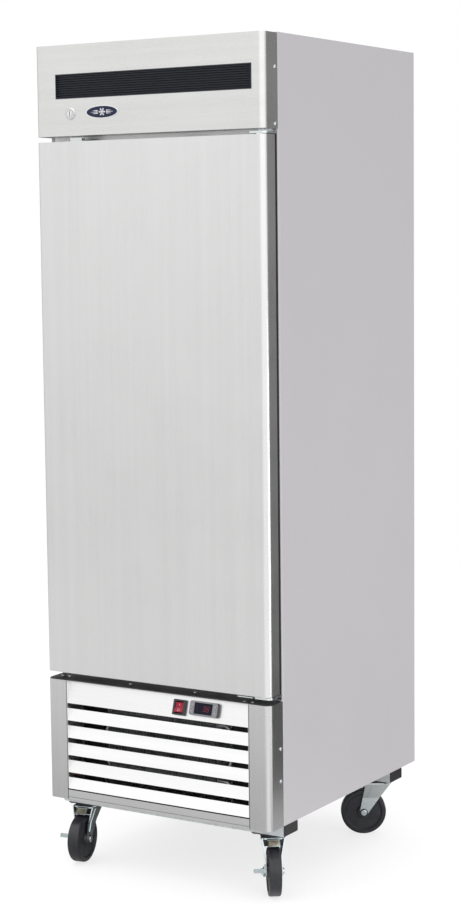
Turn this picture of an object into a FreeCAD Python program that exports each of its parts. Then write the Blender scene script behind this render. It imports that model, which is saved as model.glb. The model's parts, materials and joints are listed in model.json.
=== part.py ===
import FreeCAD, Part
import math
import os

from FreeCAD import Rotation, Vector

# One-door reach-in refrigerator on castors, with the machine compartment below the cabinet.
# Frame: X to the right, Y to the back, Z up. The origin is on the floor under the cabinet's
# middle. All lengths are in millimetres.

# ---- driving dimensions ---------------------------------------------------------------
WIDTH = 686.0            # over the side panels
DEPTH = 800.0            # door face to back panel
BODY_BOTTOM = 184.0      # underside of the cabinet
BODY_TOP = 2158.0
FRONT_DEPTH = 64.0       # header, door and lower front stand this far ahead of the cabinet
CORNER_R = 16.0          # rounded upright corners of the front parts
SHEET = 1.2              # outer sheet metal
LINER = 1.0              # inner sheet metal
WALL = 50.0              # foamed wall, over both skins
DOOR_BOTTOM, DOOR_TOP = 526.0, 1912.0
DOOR_THICK = 49.0
HEADER_BOTTOM, HEADER_TOP = 1926.0, 2156.0
LOWER_TOP = 505.0        # top of the louvre panel and of the corner posts
RAIL_TOP = 210.0         # flat rail under the louvres
CABIN_BASE = 515.0       # underside of the insulated floor
OPENING_TOP = 1875.0     # door opening, upper edge
POST_WIDTH = 62.0
WHEEL_R, WHEEL_HALF = 62.5, 16.0
CASTOR_TRAIL = 42.0      # wheel axle behind the kingpin
BRAKE_REST = 28.0        # slope of a released foot brake
SHELF_LEVELS = (850.0, 1180.0, 1510.0)
RUNNING = 0.05           # radial clearance of a shaft in its bore
CLEAR = 0.3              # gap between pieces that move past each other

# ---- derived places -------------------------------------------------------------------
HALF = WIDTH / 2
FRONT = -DEPTH / 2
BACK = DEPTH / 2
FACE = FRONT + FRONT_DEPTH              # the cabinet's own front face
DOOR_BACK = FRONT + DOOR_THICK
CABIN_HALF = HALF - WALL                # inside half width
CABIN_FLOOR = CABIN_BASE + WALL
CABIN_CEILING = BODY_TOP - WALL
CABIN_BACK = BACK - WALL
FRAME_THICK = 4.0
POST_INNER = HALF - POST_WIDTH
HINGE_X, HINGE_Y = HALF - 22.0, FRONT + 22.0
HINGE_PIN_R = 5.0
CHANNEL_DEPTH, CHANNEL_HEIGHT = 70.0, 28.0
FRONT_CHANNEL_Y = FACE
REAR_CHANNEL_Y = BACK - 152.0
KINGPIN_X = HALF - 55.0
KINGPIN_FRONT_Y = FRONT_CHANNEL_Y + CHANNEL_DEPTH / 2
KINGPIN_REAR_Y = REAR_CHANNEL_Y + CHANNEL_DEPTH / 2
AXLE_R = 6.0
LOCK_X, LOCK_Z = -232.5, 1982.0
TONGUE_Y = FRONT + 27.0
FAN_R = 92.0
EVAPORATOR_FAN = Vector(0, -40, 1948)
CONDENSER_FAN = Vector(-35, -205, 335)
SHAFT_R = 3.0

GRILLE_X0, GRILLE_X1, GRILLE_Z0, GRILLE_Z1 = -278.0, 308.0, 2020.0, 2082.4
PULL_Z0, PULL_Z1 = 1120.0, 1300.0
PULL_Y0, PULL_Y1 = FRONT + 18.0, FRONT + 43.0
PULL_DEPTH = 30.0
BUSH_R, BUSH_DEEP = 9.0, 22.0
PLATE_TOP = BODY_BOTTOM - CHANNEL_HEIGHT
FORK_TOP = PLATE_TOP - 8.0
FORK_CROWN = 4.0
FORK_SHEET = 3.0

# The control strip leans back: its upper edge is recessed behind its lower edge.
STRIP_BOTTOM = 444.8
STRIP_LEAN = 18.0
STRIP_ANGLE = math.degrees(math.atan2(STRIP_LEAN, LOWER_TOP - STRIP_BOTTOM))
SLOT_PITCH, SLOT_OPEN, SLOT_COUNT = 46.8, 16.6, 5
SLAT_LEAN = 11.0

# Each castor: name, kingpin X and Y, direction in which its wheel trails, and whether it has a brake.
CASTORS = {
    "front_left": (-KINGPIN_X, KINGPIN_FRONT_Y, -80.0, True),
    "front_right": (KINGPIN_X, KINGPIN_FRONT_Y, -54.5, True),
    "rear_left": (-KINGPIN_X, KINGPIN_REAR_Y, -110.0, False),
    "rear_right": (KINGPIN_X, KINGPIN_REAR_Y, -148.0, False),
}


# ---- small builders -------------------------------------------------------------------
def box(x0, x1, y0, y1, z0, z1):
    return Part.makeBox(x1 - x0, y1 - y0, z1 - z0, Vector(x0, y0, z0))


def rod(start, end, radius):
    way = end - start
    return Part.makeCylinder(radius, way.Length, start, way)


def fuse(shapes):
    return shapes[0].multiFuse(shapes[1:]).removeSplitter()


def cut(shape, tools):
    return shape.cut(Part.makeCompound(tools) if len(tools) > 1 else tools[0])


def profile_x(points, x0, x1):
    """A closed outline of (y, z) points, drawn out along X."""
    wire = Part.makePolygon([Vector(x0, y, z) for y, z in points + points[:1]])
    return Part.Face(wire).extrude(Vector(x1 - x0, 0, 0))


def fillet_upright(shape, corners):
    """Rounds the upright edges that stand at the given (x, y, radius)."""
    for x, y, radius in corners:
        edges = []
        for edge in shape.Edges:
            a, b = edge.Vertexes[0].Point, edge.Vertexes[-1].Point
            upright = abs(a.x - b.x) < 1e-6 and abs(a.y - b.y) < 1e-6 and abs(a.z - b.z) > 1
            if upright and abs(a.x - x) < 0.01 and abs(a.y - y) < 0.01:
                edges.append(edge)
        shape = shape.makeFillet(radius, edges)
    return shape


def front_block(inset, x0, x1, y1, z0, z1):
    """A block at the front plane with its two front upright corners rounded."""
    y0 = FRONT + inset
    radius = CORNER_R - inset
    return fillet_upright(box(x0, x1, y0, y1, z0, z1), [(x0, y0, radius), (x1, y0, radius)])


def turned(shape, angle, axis, centre):
    copy = shape.copy()
    copy.rotate(centre, axis, angle)
    return copy


def moved(shape, x=0.0, y=0.0, z=0.0):
    copy = shape.copy()
    copy.translate(Vector(x, y, z))
    return copy


def bent_tube(points, bend, radius):
    """A round tube along straight runs that are joined by tangent arcs."""
    edges = []
    start = points[0]
    for before, corner, after in zip(points, points[1:], points[2:]):
        into = (corner - before).normalize()
        out = (after - corner).normalize()
        half_turn = into.getAngle(out) / 2
        reach = bend * math.tan(half_turn)
        first = corner - into * reach
        last = corner + out * reach
        inward = (out - into).normalize()
        middle = corner + inward * (bend / math.cos(half_turn) - bend)
        edges.append(Part.LineSegment(start, first).toShape())
        edges.append(Part.Arc(first, middle, last).toShape())
        start = last
    edges.append(Part.LineSegment(start, points[-1]).toShape())
    path = Part.Wire(edges)
    section = Part.Wire(Part.makeCircle(radius, points[0], points[1] - points[0]))
    return path.makePipeShell([section], True, False)


def leaned(shape):
    """Turns a piece built upright at the strip's lower edge into the control strip's lean."""
    return turned(shape, -STRIP_ANGLE, Vector(1, 0, 0), Vector(0, FRONT, STRIP_BOTTOM))


# ---- cabinet shell --------------------------------------------------------------------
def side_panel(side):
    front_return, back_return, edge_r = 13.0, 20.0, 5.0
    outer = side * HALF

    def plate(reach, y0, y1):
        x0, x1 = sorted((outer, outer - side * reach))
        return box(x0, x1, y0, y1, BODY_BOTTOM, BODY_TOP)

    shape = fuse([plate(SHEET, FACE, BACK), plate(front_return, FACE, FACE + SHEET),
                  plate(back_return, BACK - SHEET, BACK)])
    inner = outer - side * SHEET
    return fillet_upright(shape, [(outer, FACE, edge_r), (inner, FACE + SHEET, edge_r - SHEET)])


def top_panel():
    inner, front, corner_r = HALF - SHEET, FACE + SHEET, 4.0
    sheet = box(-inner, inner, front, BACK - 2 * SHEET, BODY_TOP - SHEET, BODY_TOP)
    corners = [(-inner, front, corner_r), (inner, front, corner_r)]
    return fillet_upright(sheet, corners)


def back_panel():
    inner = HALF - SHEET - 0.2
    plate = box(-inner, inner, BACK - 2 * SHEET, BACK - SHEET, BODY_BOTTOM, BODY_TOP)
    slots = []
    for row in range(10):
        z = BODY_BOTTOM + 50 + 24 * row
        for x in (-250.0, -75.0, 100.0):
            slots.append(box(x, x + 150, BACK - 5, BACK + 1, z, z + 10))
    gland = rod(Vector(-285, BACK - 5, 290), Vector(-285, BACK + 1, 290), 9.0)
    return cut(plate, slots + [gland])


def cabinet_insulation():
    """Foamed slabs between the skins; each is its own block."""
    y0, y1 = FACE + FRAME_THICK + SHEET, BACK - 2 * SHEET
    top, outer, inner = BODY_TOP - SHEET, HALF - SHEET, CABIN_HALF + LINER
    back_inner = CABIN_BACK + LINER
    bulkhead_back = FACE + FRAME_THICK + WALL
    return Part.makeCompound([
        box(-outer, -inner, y0, y1, CABIN_BASE, top),
        box(inner, outer, y0, y1, CABIN_BASE, top),
        box(-inner, inner, back_inner, y1, CABIN_BASE, top),
        box(-inner, inner, y0, back_inner, CABIN_BASE, CABIN_FLOOR - LINER),
        box(-inner, inner, y0, back_inner, CABIN_CEILING + LINER, top),
        box(-inner, inner, y0, bulkhead_back, OPENING_TOP + LINER, CABIN_CEILING + LINER),
    ])


def interior_liner():
    y0 = FACE + FRAME_THICK
    step = y0 + WALL
    t = LINER
    outer = [(y0, CABIN_FLOOR - t), (CABIN_BACK + t, CABIN_FLOOR - t), (CABIN_BACK + t, CABIN_CEILING + t),
             (step, CABIN_CEILING + t), (step, OPENING_TOP + t), (y0, OPENING_TOP + t)]
    inner = [(y0 - 1, CABIN_FLOOR), (CABIN_BACK, CABIN_FLOOR), (CABIN_BACK, CABIN_CEILING),
             (step + t, CABIN_CEILING), (step + t, OPENING_TOP), (y0 - 1, OPENING_TOP)]
    return profile_x(outer, -CABIN_HALF - t, CABIN_HALF + t).cut(profile_x(inner, -CABIN_HALF, CABIN_HALF))


def front_frame():
    """Breaker frame round the opening, with the tall plate above it."""
    y0, y1 = FACE, FACE + FRAME_THICK
    edge = HALF - 13.5
    inner = CABIN_HALF - 2
    low, high = CABIN_FLOOR + 2, OPENING_TOP - 2
    foot = LOWER_TOP - 20
    bars = [box(-edge, edge, y0, y1, high, BODY_TOP - SHEET), box(-edge, edge, y0, y1, foot, low),
            box(-edge, -inner, y0, y1, low, high), box(inner, edge, y0, y1, low, high)]
    return Part.makeCompound(bars)


def shelf_pilasters():
    low, high, wide, thick, pitch = CABIN_FLOOR + 35, OPENING_TOP - 15, 25.0, 2.5, 30.0
    strips = []
    for side in (-1, 1):
        for y in (-235.0, 235.0):
            x0, x1 = sorted((side * CABIN_HALF, side * (CABIN_HALF - thick)))
            strip = box(x0, x1, y - wide / 2, y + wide / 2, low, high)
            count = int((high - low - 30) / pitch)
            holes = [box(x0 - 1, x1 + 1, y - 6, y + 6, low + 20 + pitch * i, low + 24 + pitch * i)
                     for i in range(count)]
            strips.append(cut(strip, holes))
    return Part.makeCompound(strips)


def shelf_clips():
    """Bent clips that hook on the pilasters and carry the shelves' side rods."""
    clips = []
    for level in SHELF_LEVELS:
        for side in (-1, 1):
            for y in (-235.0, 235.0):
                wall = side * (CABIN_HALF - 2.5)
                xs = sorted((wall, wall - side * 2.0))
                reach = sorted((wall, wall - side * 24.0))
                clip = fuse([box(xs[0], xs[1], y - 8, y + 8, level - 22, level + 8),
                             box(reach[0], reach[1], y - 8, y + 8, level - 8.4, level - 5.4)])
                clips.append(clip)
    return Part.makeCompound(clips)


def wire_shelf(level):
    """Welded wire shelf: rim, two cross bearers and front-to-back wires."""
    half, y0, y1 = 275.0, -285.0, 295.0
    rim_r, wire_r, pitch = 3.5, 1.9, 24.0
    z = level - 5.0 + rim_r
    corners = [Vector(-half, y0, z), Vector(half, y0, z), Vector(half, y1, z), Vector(-half, y1, z)]
    rods = [rod(a, b, rim_r) for a, b in zip(corners, corners[1:] + corners[:1])]
    rods += [Part.makeSphere(rim_r, corner) for corner in corners]
    rods += [rod(Vector(-half, y, z), Vector(half, y, z), rim_r - 0.5) for y in (-95.0, 105.0)]
    count = int(2 * half / pitch)
    start = -half + (2 * half - (count - 1) * pitch) / 2
    top = z + rim_r + wire_r - 1.6
    for i in range(count):
        x = start + pitch * i
        rods.append(rod(Vector(x, y0 - 2, top), Vector(x, y1 + 2, top), wire_r))
    return rods[0].multiFuse(rods[1:])


# ---- cooling inside the cabinet -------------------------------------------------------
def fan_blades(radius, count, depth):
    """Hub and pitched blades about Z, with a bored hub."""
    hub_r = 20.0
    blades = []
    for i in range(count):
        blade = box(hub_r - 3, radius, -28, 28, -0.9, 0.9)
        blade = turned(blade, 24, Vector(1, 0, 0), Vector(0, 0, 0))
        blades.append(turned(blade, 360 / count * i, Vector(0, 0, 1), Vector(0, 0, 0)))
    disc = Part.makeCylinder(radius, 2 * depth, Vector(0, 0, -depth))
    hub = Part.makeCylinder(hub_r, 24, Vector(0, 0, -12))
    fan = fuse([hub] + [blade.common(disc) for blade in blades])
    return cut(fan, [Part.makeCylinder(SHAFT_R + RUNNING, 40, Vector(0, 0, -20))])


def fan_motor():
    """Motor above the origin on Z; its shaft reaches down through a fan hub at the origin."""
    can = Part.makeCylinder(31, 46, Vector(0, 0, 20))
    can = can.makeFillet(5, [e for e in can.Edges if e.Curve.TypeId == "Part::GeomCircle"])
    shaft = Part.makeCylinder(SHAFT_R, 36, Vector(0, 0, -14))
    return fuse([can, shaft])


def evaporator_fan():
    return moved(fan_blades(FAN_R, 5, 14), *EVAPORATOR_FAN)


def condenser_fan():
    fan = turned(fan_blades(FAN_R + 18, 5, 14), -90, Vector(1, 0, 0), Vector(0, 0, 0))
    return moved(fan, *CONDENSER_FAN)


def fan_motors():
    upper = moved(fan_motor(), *EVAPORATOR_FAN)
    lower = moved(turned(fan_motor(), -90, Vector(1, 0, 0), Vector(0, 0, 0)), *CONDENSER_FAN)
    return Part.makeCompound([upper, lower])


def evaporator_cover():
    """Sheet cover under the ceiling, with a fan mouth, a wire guard and a motor bracket."""
    x, y0, y1, z0, z1 = 255.0, -265.0, 215.0, 1912.0, CABIN_CEILING
    slope, t = 70.0, 1.5
    outer = [(y0 + slope, z0), (y1, z0), (y1, z1), (y0, z1), (y0, z0 + slope)]
    inner = [(y0 + slope + 0.7, z0 + t), (y1 - t, z0 + t), (y1 - t, z1 + 1), (y0 + t, z1 + 1),
             (y0 + t, z0 + slope + 0.7)]
    shell = profile_x(outer, -x, x).cut(profile_x(inner, -x + t, x - t))
    fan = EVAPORATOR_FAN
    mouth = Part.makeCylinder(FAN_R + 6, 12, Vector(fan.x, fan.y, z0 - 5))
    vents = [box(-200, 200, y1 - 5, y1 + 2, z, z + 9) for z in (1945, 1970, 1995, 2020, 2045)]
    shell = cut(shell, [mouth] + vents)
    rings = [Part.makeTorus(r, 1.6, Vector(fan.x, fan.y, z0)) for r in (30, 55, 80, FAN_R + 6.5)]
    spokes = [turned(rod(Vector(28, fan.y, z0), Vector(FAN_R + 8, fan.y, z0), 1.5), a,
                     Vector(0, 0, 1), Vector(fan.x, fan.y, 0)) for a in range(0, 360, 60)]
    collar = Part.makeCylinder(34, 12, Vector(fan.x, fan.y, fan.z + 40))
    collar = collar.cut(Part.makeCylinder(31, 14, Vector(fan.x, fan.y, fan.z + 39)))
    arms = [box(32.5, x - 1, fan.y - 6, fan.y + 6, fan.z + 44, fan.z + 47),
            box(-x + 1, -32.5, fan.y - 6, fan.y + 6, fan.z + 44, fan.z + 47)]
    return fuse([shell] + rings + spokes + [collar] + arms)


def fin_coil(x0, x1, y0, y1, z0, z1, pitch, rows):
    """Fin pack on straight tubes along X, joined by return bends at both ends."""
    tube_r, fin_t = 4.8, 0.6
    count = int((x1 - x0) / pitch)
    fins = [box(x0 + pitch * i, x0 + pitch * i + fin_t, y0, y1, z0, z1) for i in range(count + 1)]
    y = (y0 + y1) / 2
    step = (z1 - z0) / rows
    levels = [z0 + step * (i + 0.5) for i in range(rows)]
    tubes = [rod(Vector(x0 - 6, y, z), Vector(x1 + 6, y, z), tube_r) for z in levels]
    bends = []
    for i, (low, high) in enumerate(zip(levels, levels[1:])):
        end = x1 + 6 if i % 2 == 0 else x0 - 6
        bend = Part.makeTorus(step / 2, tube_r, Vector(end, y, (low + high) / 2), Vector(0, 1, 0))
        span = step + 2 * tube_r
        keep = (end, end + span) if i % 2 == 0 else (end - span, end)
        bends.append(bend.common(box(keep[0], keep[1], y - span, y + span, low - span, high + span)))
    return fuse(fins + tubes + bends)


def evaporator_coil():
    return fin_coil(-215, 215, 85, 185, 1955, 2075, 14.0, 4)


def condenser_coil():
    return fin_coil(-205, 135, -318, -262, 205, 465, 10.0, 7)


def interior_lamp():
    y, z = -170.0, 1912.0
    body = box(-170, 170, y - 16, y + 16, z - 14, z)
    body = body.makeFillet(6, [e for e in body.Edges if e.BoundBox.ZMax < z - 13 and e.Length > 100])
    return body


# ---- header ---------------------------------------------------------------------------
def header_panel():
    t = SHEET
    outer = front_block(0, -HALF, HALF, FACE, HEADER_BOTTOM, HEADER_TOP)
    inner = front_block(t, -HALF + t, HALF - t, FACE + 1, HEADER_BOTTOM + t, HEADER_TOP - t)
    window = box(GRILLE_X0, GRILLE_X1, FRONT - 1, FRONT + 5, GRILLE_Z0, GRILLE_Z1)
    lock = rod(Vector(LOCK_X, FRONT - 1, LOCK_Z), Vector(LOCK_X, FRONT + 5, LOCK_Z), 9.5)
    tongue_slot = box(LOCK_X - 12, LOCK_X + 50, TONGUE_Y - 3, TONGUE_Y + 6,
                      HEADER_BOTTOM - 1, HEADER_BOTTOM + 3)
    shape = cut(outer, [inner])
    hinge_notch = box(289, HALF - 14, FACE - 5, FACE + 1, HEADER_BOTTOM - 1, HEADER_BOTTOM + 3)
    return cut(shape, [window, lock, tongue_slot, hinge_notch])


def header_grille():
    """Moulded insert with a thin rim and level ribs, set into the header's window."""
    rim, ribs = 2.4, 10
    x0, x1, z0, z1 = GRILLE_X0, GRILLE_X1, GRILLE_Z0, GRILLE_Z1
    y = FRONT
    backing = box(x0 - 6, x1 + 6, y + 8, y + 10, z0 - 6, z1 + 6)
    frame = box(x0 + 0.2, x1 - 0.2, y - 0.6, y + 9, z0 + 0.2, z1 - 0.2)
    frame = frame.cut(box(x0 + rim, x1 - rim, y - 2, y + 9, z0 + rim, z1 - rim))
    pitch = (z1 - z0 - 2 * rim) / ribs
    bars = []
    for i in range(ribs):
        z = z0 + rim + pitch * i
        points = [(y + 8.5, z), (y + 1.5, z + pitch * 0.30), (y + 1.0, z + pitch * 0.52),
                  (y + 8.5, z + pitch * 0.80)]
        bars.append(profile_x(points, x0 + rim - 0.5, x1 - rim + 0.5))
    return fuse([backing, frame] + bars)


def ellipse_plate(centre, wide, high, y0, y1):
    curve = Part.Ellipse(Vector(centre.x, y0, centre.z), wide / 2, high / 2)
    face = Part.Face(Part.Wire(curve.toShape()))
    upright = turned(face, 90, Vector(1, 0, 0), Vector(centre.x, y0, centre.z))
    return upright.extrude(Vector(0, y1 - y0, 0))


def header_badge():
    centre = Vector(-132.5, 0, 1983.0)
    plate = ellipse_plate(centre, 96, 31, FRONT - 2.4, FRONT)
    recess = ellipse_plate(centre, 90, 25, FRONT - 3, FRONT - 1.8)
    return plate.cut(recess)


def lock_housing():
    centre = Vector(LOCK_X, FRONT, LOCK_Z)
    along = Vector(0, 1, 0)
    flange = Part.makeCylinder(15, 3, centre - along * 3, along)
    flange = flange.makeFillet(1.6, [e for e in flange.Edges if e.BoundBox.YMax < FRONT - 2.9])
    barrel = Part.makeCylinder(9.4, 26, centre - along, along)
    bore = Part.makeCylinder(7.5 + RUNNING, 40, centre - along * 5, along)
    return cut(fuse([flange, barrel]), [bore])


def lock_plug():
    """Key plug with the bolt tongue on its inner end; it rests turned to the side, unlocked."""
    centre = Vector(LOCK_X, FRONT, LOCK_Z)
    along = Vector(0, 1, 0)
    plug = Part.makeCylinder(7.5, TONGUE_Y - FRONT + 3.5, centre - along * 3.5, along)
    keyway = box(LOCK_X - 0.9, LOCK_X + 0.9, FRONT - 4, FRONT + 4, LOCK_Z - 4.5, LOCK_Z + 4.5)
    tongue = box(LOCK_X - 9, LOCK_X + 67, TONGUE_Y, TONGUE_Y + 3, LOCK_Z - 7, LOCK_Z + 7)
    tip = [e for e in tongue.Edges if e.BoundBox.XMin > LOCK_X + 66 and e.BoundBox.ZLength < 1]
    tongue = tongue.makeFillet(6, tip)
    return cut(fuse([plug, tongue]), [keyway])


# ---- hinges ---------------------------------------------------------------------------
def hinge_plate(z0, z1):
    plate = box(290, HALF - 2, HINGE_Y - 13, FACE, z0, z1)
    return fillet_upright(plate, [(290, HINGE_Y - 13, 8), (HALF - 2, HINGE_Y - 13, 12)])


def upper_hinge():
    z0, z1 = DOOR_TOP + 2.5, DOOR_TOP + 7.5
    flange = box(290, HALF - 15, FACE - 4, FACE, z0, z0 + 52)
    pin = Part.makeCylinder(HINGE_PIN_R, 21, Vector(HINGE_X, HINGE_Y, z0 - 18))
    return fuse([hinge_plate(z0, z1), flange, pin])


def lower_hinge():
    z1, z0 = DOOR_BOTTOM - 3, DOOR_BOTTOM - 8
    flange = box(290, HALF - 15, FACE - 4, FACE, z1 - 48, z1)
    pin = Part.makeCylinder(HINGE_PIN_R, 21, Vector(HINGE_X, HINGE_Y, z1 - 3))
    return fuse([hinge_plate(z0, z1), flange, pin])


# ---- door -----------------------------------------------------------------------------
def pull_block(grow):
    return box(-HALF - 1, -HALF + PULL_DEPTH + grow, PULL_Y0 - grow, PULL_Y1 + grow,
               PULL_Z0 - grow, PULL_Z1 + grow)


def bush_holes(radius):
    return [Part.makeCylinder(radius, BUSH_DEEP + 4, Vector(HINGE_X, HINGE_Y, DOOR_TOP - BUSH_DEEP)),
            Part.makeCylinder(radius, BUSH_DEEP + 4, Vector(HINGE_X, HINGE_Y, DOOR_BOTTOM - 4))]


def door_outer_panel():
    t = SHEET
    outer = front_block(0, -HALF, HALF, DOOR_BACK, DOOR_BOTTOM, DOOR_TOP)
    inner = front_block(t, -HALF + t, HALF - t, DOOR_BACK + 1, DOOR_BOTTOM + t, DOOR_TOP - t)
    return cut(outer.cut(inner), [pull_block(0.1)] + bush_holes(BUSH_R + 0.1))


def door_insulation():
    t = SHEET
    block = front_block(t, -HALF + t, HALF - t, DOOR_BACK - LINER, DOOR_BOTTOM + t, DOOR_TOP - t)
    return cut(block, [pull_block(0.1)] + bush_holes(BUSH_R + 0.1))


def door_inner_panel():
    """Inner sheet with a raised centre that reaches towards the cabinet."""
    x, z0, z1 = HALF - SHEET - 0.1, DOOR_BOTTOM + SHEET + 0.1, DOOR_TOP - SHEET - 0.1
    raise_x, raise_z0, raise_z1, raise_y = 268.0, 600.0, 1842.0, 11.0
    sheet = box(-x, x, DOOR_BACK - LINER, DOOR_BACK, z0, z1)
    dish = box(-raise_x, raise_x, DOOR_BACK - LINER, DOOR_BACK + raise_y, raise_z0, raise_z1)
    dish = dish.makeChamfer(7, [e for e in dish.Edges if e.BoundBox.YMin > DOOR_BACK + raise_y - 0.01])
    hollow = box(-raise_x + 8, raise_x - 8, DOOR_BACK - LINER - 1, DOOR_BACK + raise_y - LINER,
                 raise_z0 + 8, raise_z1 - 8)
    return cut(fuse([sheet, dish]), [hollow])


def ring_frame(x, z0, z1, wide, y0, y1):
    return box(-x, x, y0, y1, z0, z1).cut(box(-x + wide, x - wide, y0 - 1, y1 + 1, z0 + wide, z1 - wide))


def door_gasket():
    """Push-in foot, bellows web and magnet head, as one frame."""
    x, z0, z1 = HALF - 18.0, 541.0, 1900.0
    foot = ring_frame(x, z0, z1, 20, DOOR_BACK, DOOR_BACK + 4)
    web = ring_frame(x - 7, z0 + 7, z1 - 7, 6, DOOR_BACK + 4, DOOR_BACK + 8)
    head = ring_frame(x - 2, z0 + 2, z1 - 2, 16, DOOR_BACK + 8, FACE - 1)
    return fuse([foot, web, head])


def door_hinge_bushes():
    bore = HINGE_PIN_R + RUNNING
    bushes = []
    for mouth, way in ((DOOR_TOP, 1), (DOOR_BOTTOM, -1)):
        flange_t = 2.5 - CLEAR if way > 0 else 3.0 - CLEAR
        up = Vector(0, 0, way)
        seat = Vector(HINGE_X, HINGE_Y, mouth)
        body = Part.makeCylinder(BUSH_R, BUSH_DEEP, seat - up * BUSH_DEEP, up)
        flange = Part.makeCylinder(14, flange_t, seat, up)
        hole = Part.makeCylinder(bore, 40, seat - up * (BUSH_DEEP + 5), up)
        bushes.append(cut(fuse([body, flange]), [hole]))
    return Part.makeCompound(bushes)


def door_pull():
    """Cup set into the free edge of the door, for the fingers."""
    wall = 2.0
    outer = box(-HALF, -HALF + PULL_DEPTH, PULL_Y0, PULL_Y1, PULL_Z0, PULL_Z1)
    inner = box(-HALF - 1, -HALF + PULL_DEPTH - wall, PULL_Y0 + wall, PULL_Y1 - wall,
                PULL_Z0 + wall, PULL_Z1 - wall)
    return outer.cut(inner)


def lock_strike():
    """Keeper on the door's top edge; the lock's tongue drops between its two walls."""
    x0, x1, z = -263.0, -199.0, DOOR_TOP
    base = box(x0, x1, TONGUE_Y - 12, TONGUE_Y + 14, z, z + 1.5)
    walls = [box(x0 + 14, x1 - 14, y, y + 2, z, z + 10) for y in (TONGUE_Y - 7, TONGUE_Y + 8)]
    return fuse([base] + walls)


# ---- lower front ----------------------------------------------------------------------
def corner_post(side):
    t = 1.5
    outer = front_block(0, POST_INNER, HALF, FACE, BODY_BOTTOM, LOWER_TOP)
    inner = front_block(t, POST_INNER + t, HALF - t, FACE + 1, BODY_BOTTOM - 1, LOWER_TOP + 1)
    square = box(POST_INNER, POST_INNER + 20, FRONT, FRONT + 20, BODY_BOTTOM, LOWER_TOP)
    hollow = box(POST_INNER + t, POST_INNER + 30, FRONT + t, FACE + 1, BODY_BOTTOM - 1, LOWER_TOP + 1)
    post = cut(fuse([outer, square]), [inner, hollow])
    return post if side > 0 else post.mirror(Vector(0, 0, 0), Vector(1, 0, 0))


def corner_posts():
    return Part.makeCompound([corner_post(-1), corner_post(1)])


def slat(z_top, z_bottom, lean):
    """One pressed slat: it leans forward to its lower edge and turns back under it."""
    t, lip = SHEET, 12.0
    y = FRONT
    points = [(y + lean, z_top), (y, z_bottom), (y + lip, z_bottom), (y + lip, z_bottom + t),
              (y + t * 1.4, z_bottom + t), (y + lean + t, z_top)]
    return profile_x(points, -POST_INNER + 0.5, POST_INNER - 0.5)


def louvre_panel():
    """Control strip, slats and cheeks pressed as one panel."""
    edge = POST_INNER - 0.3
    cheek_y = FRONT + 24
    low = RAIL_TOP + 3.5
    pieces = [slat(LOWER_TOP, STRIP_BOTTOM, STRIP_LEAN)]
    for i in range(1, SLOT_COUNT + 1):
        slot_top = STRIP_BOTTOM - SLOT_PITCH * (i - 1)
        bottom = max(slot_top - SLOT_PITCH, low)
        pieces.append(slat(slot_top - SLOT_OPEN, bottom, SLAT_LEAN))
    pieces.append(box(-edge, edge, FRONT + STRIP_LEAN - 0.2, cheek_y, LOWER_TOP - SHEET, LOWER_TOP))
    pieces += [box(*sorted((side * edge, side * (edge - SHEET))), FRONT, cheek_y, low, LOWER_TOP)
               for side in (-1, 1)]
    return cut(fuse(pieces), [leaned(switch_body(0.2)), leaned(controller_body(0.2))])


def lower_cap():
    """Dark cover on top of the louvre panel and the posts, under the door."""
    cover = front_block(3, -HALF + 3, HALF - 3, FACE - 4.3, LOWER_TOP, LOWER_TOP + 2.5)
    lip = box(-POST_INNER + 4, POST_INNER - 4, FACE - 12, FACE - 4.3, LOWER_TOP - 12, LOWER_TOP + 1)
    return fuse([cover, lip])


def machine_base():
    """Base pan with its front edge turned up as the rail under the louvres, and hemmed."""
    t = 2.0
    front_x = POST_INNER - 0.4
    side = HALF - SHEET
    floor = box(-side, side, FACE + SHEET, BACK - 3, BODY_BOTTOM, BODY_BOTTOM + t)
    floor = fillet_upright(floor, [(-side, FACE + SHEET, 4), (side, FACE + SHEET, 4)])
    tongue = box(-front_x, front_x, FRONT, FACE + 3, BODY_BOTTOM, BODY_BOTTOM + t)
    rail = box(-front_x, front_x, FRONT, FRONT + SHEET, BODY_BOTTOM, RAIL_TOP)
    hem = box(-front_x, front_x, FRONT, FRONT + 2 * SHEET, RAIL_TOP - 9, RAIL_TOP)
    return fuse([floor, tongue, rail, hem])


# ---- controls -------------------------------------------------------------------------
SWITCH_X, SWITCH_Z, SWITCH_W, SWITCH_H = 72.5, 27.5, 38.0, 40.0
CONTROL_X, CONTROL_Z, CONTROL_W, CONTROL_H = 148.0, 31.0, 84.0, 37.0
SWITCH_PROUD, CONTROL_PROUD = 7.0, 11.0
KEY_R = 3.6
ROCKER_PIN_R = 1.6


def control_box(x, z, wide, high, y0, y1):
    """A box in the strip's upright frame; z is measured up the strip from its lower edge."""
    z += STRIP_BOTTOM
    return box(x - wide / 2, x + wide / 2, FRONT + y0, FRONT + y1, z - high / 2, z + high / 2)


def switch_body(grow):
    return control_box(SWITCH_X, SWITCH_Z, 30 + grow, 34 + grow, -3, 28)


def controller_body(grow):
    return control_box(CONTROL_X, CONTROL_Z, 74 + grow, 29 + grow, -3, 45)


def rounded_bezel(x, z, wide, high, proud, radius):
    bezel = control_box(x, z, wide, high, -proud, 0)
    corners = [e for e in bezel.Edges if e.BoundBox.YLength > proud - 0.1]
    bezel = bezel.makeFillet(radius, corners)
    rim = [e for e in bezel.Edges if e.BoundBox.YMax < FRONT - proud + 0.01]
    return bezel.makeFillet(1.5, rim)


def rocker_pivot():
    return Vector(SWITCH_X, FRONT + 1.0, STRIP_BOTTOM + SWITCH_Z)


def rocker_axle(reach, radius):
    along = Vector(reach, 0, 0)
    return rod(rocker_pivot() - along, rocker_pivot() + along, radius)


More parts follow.
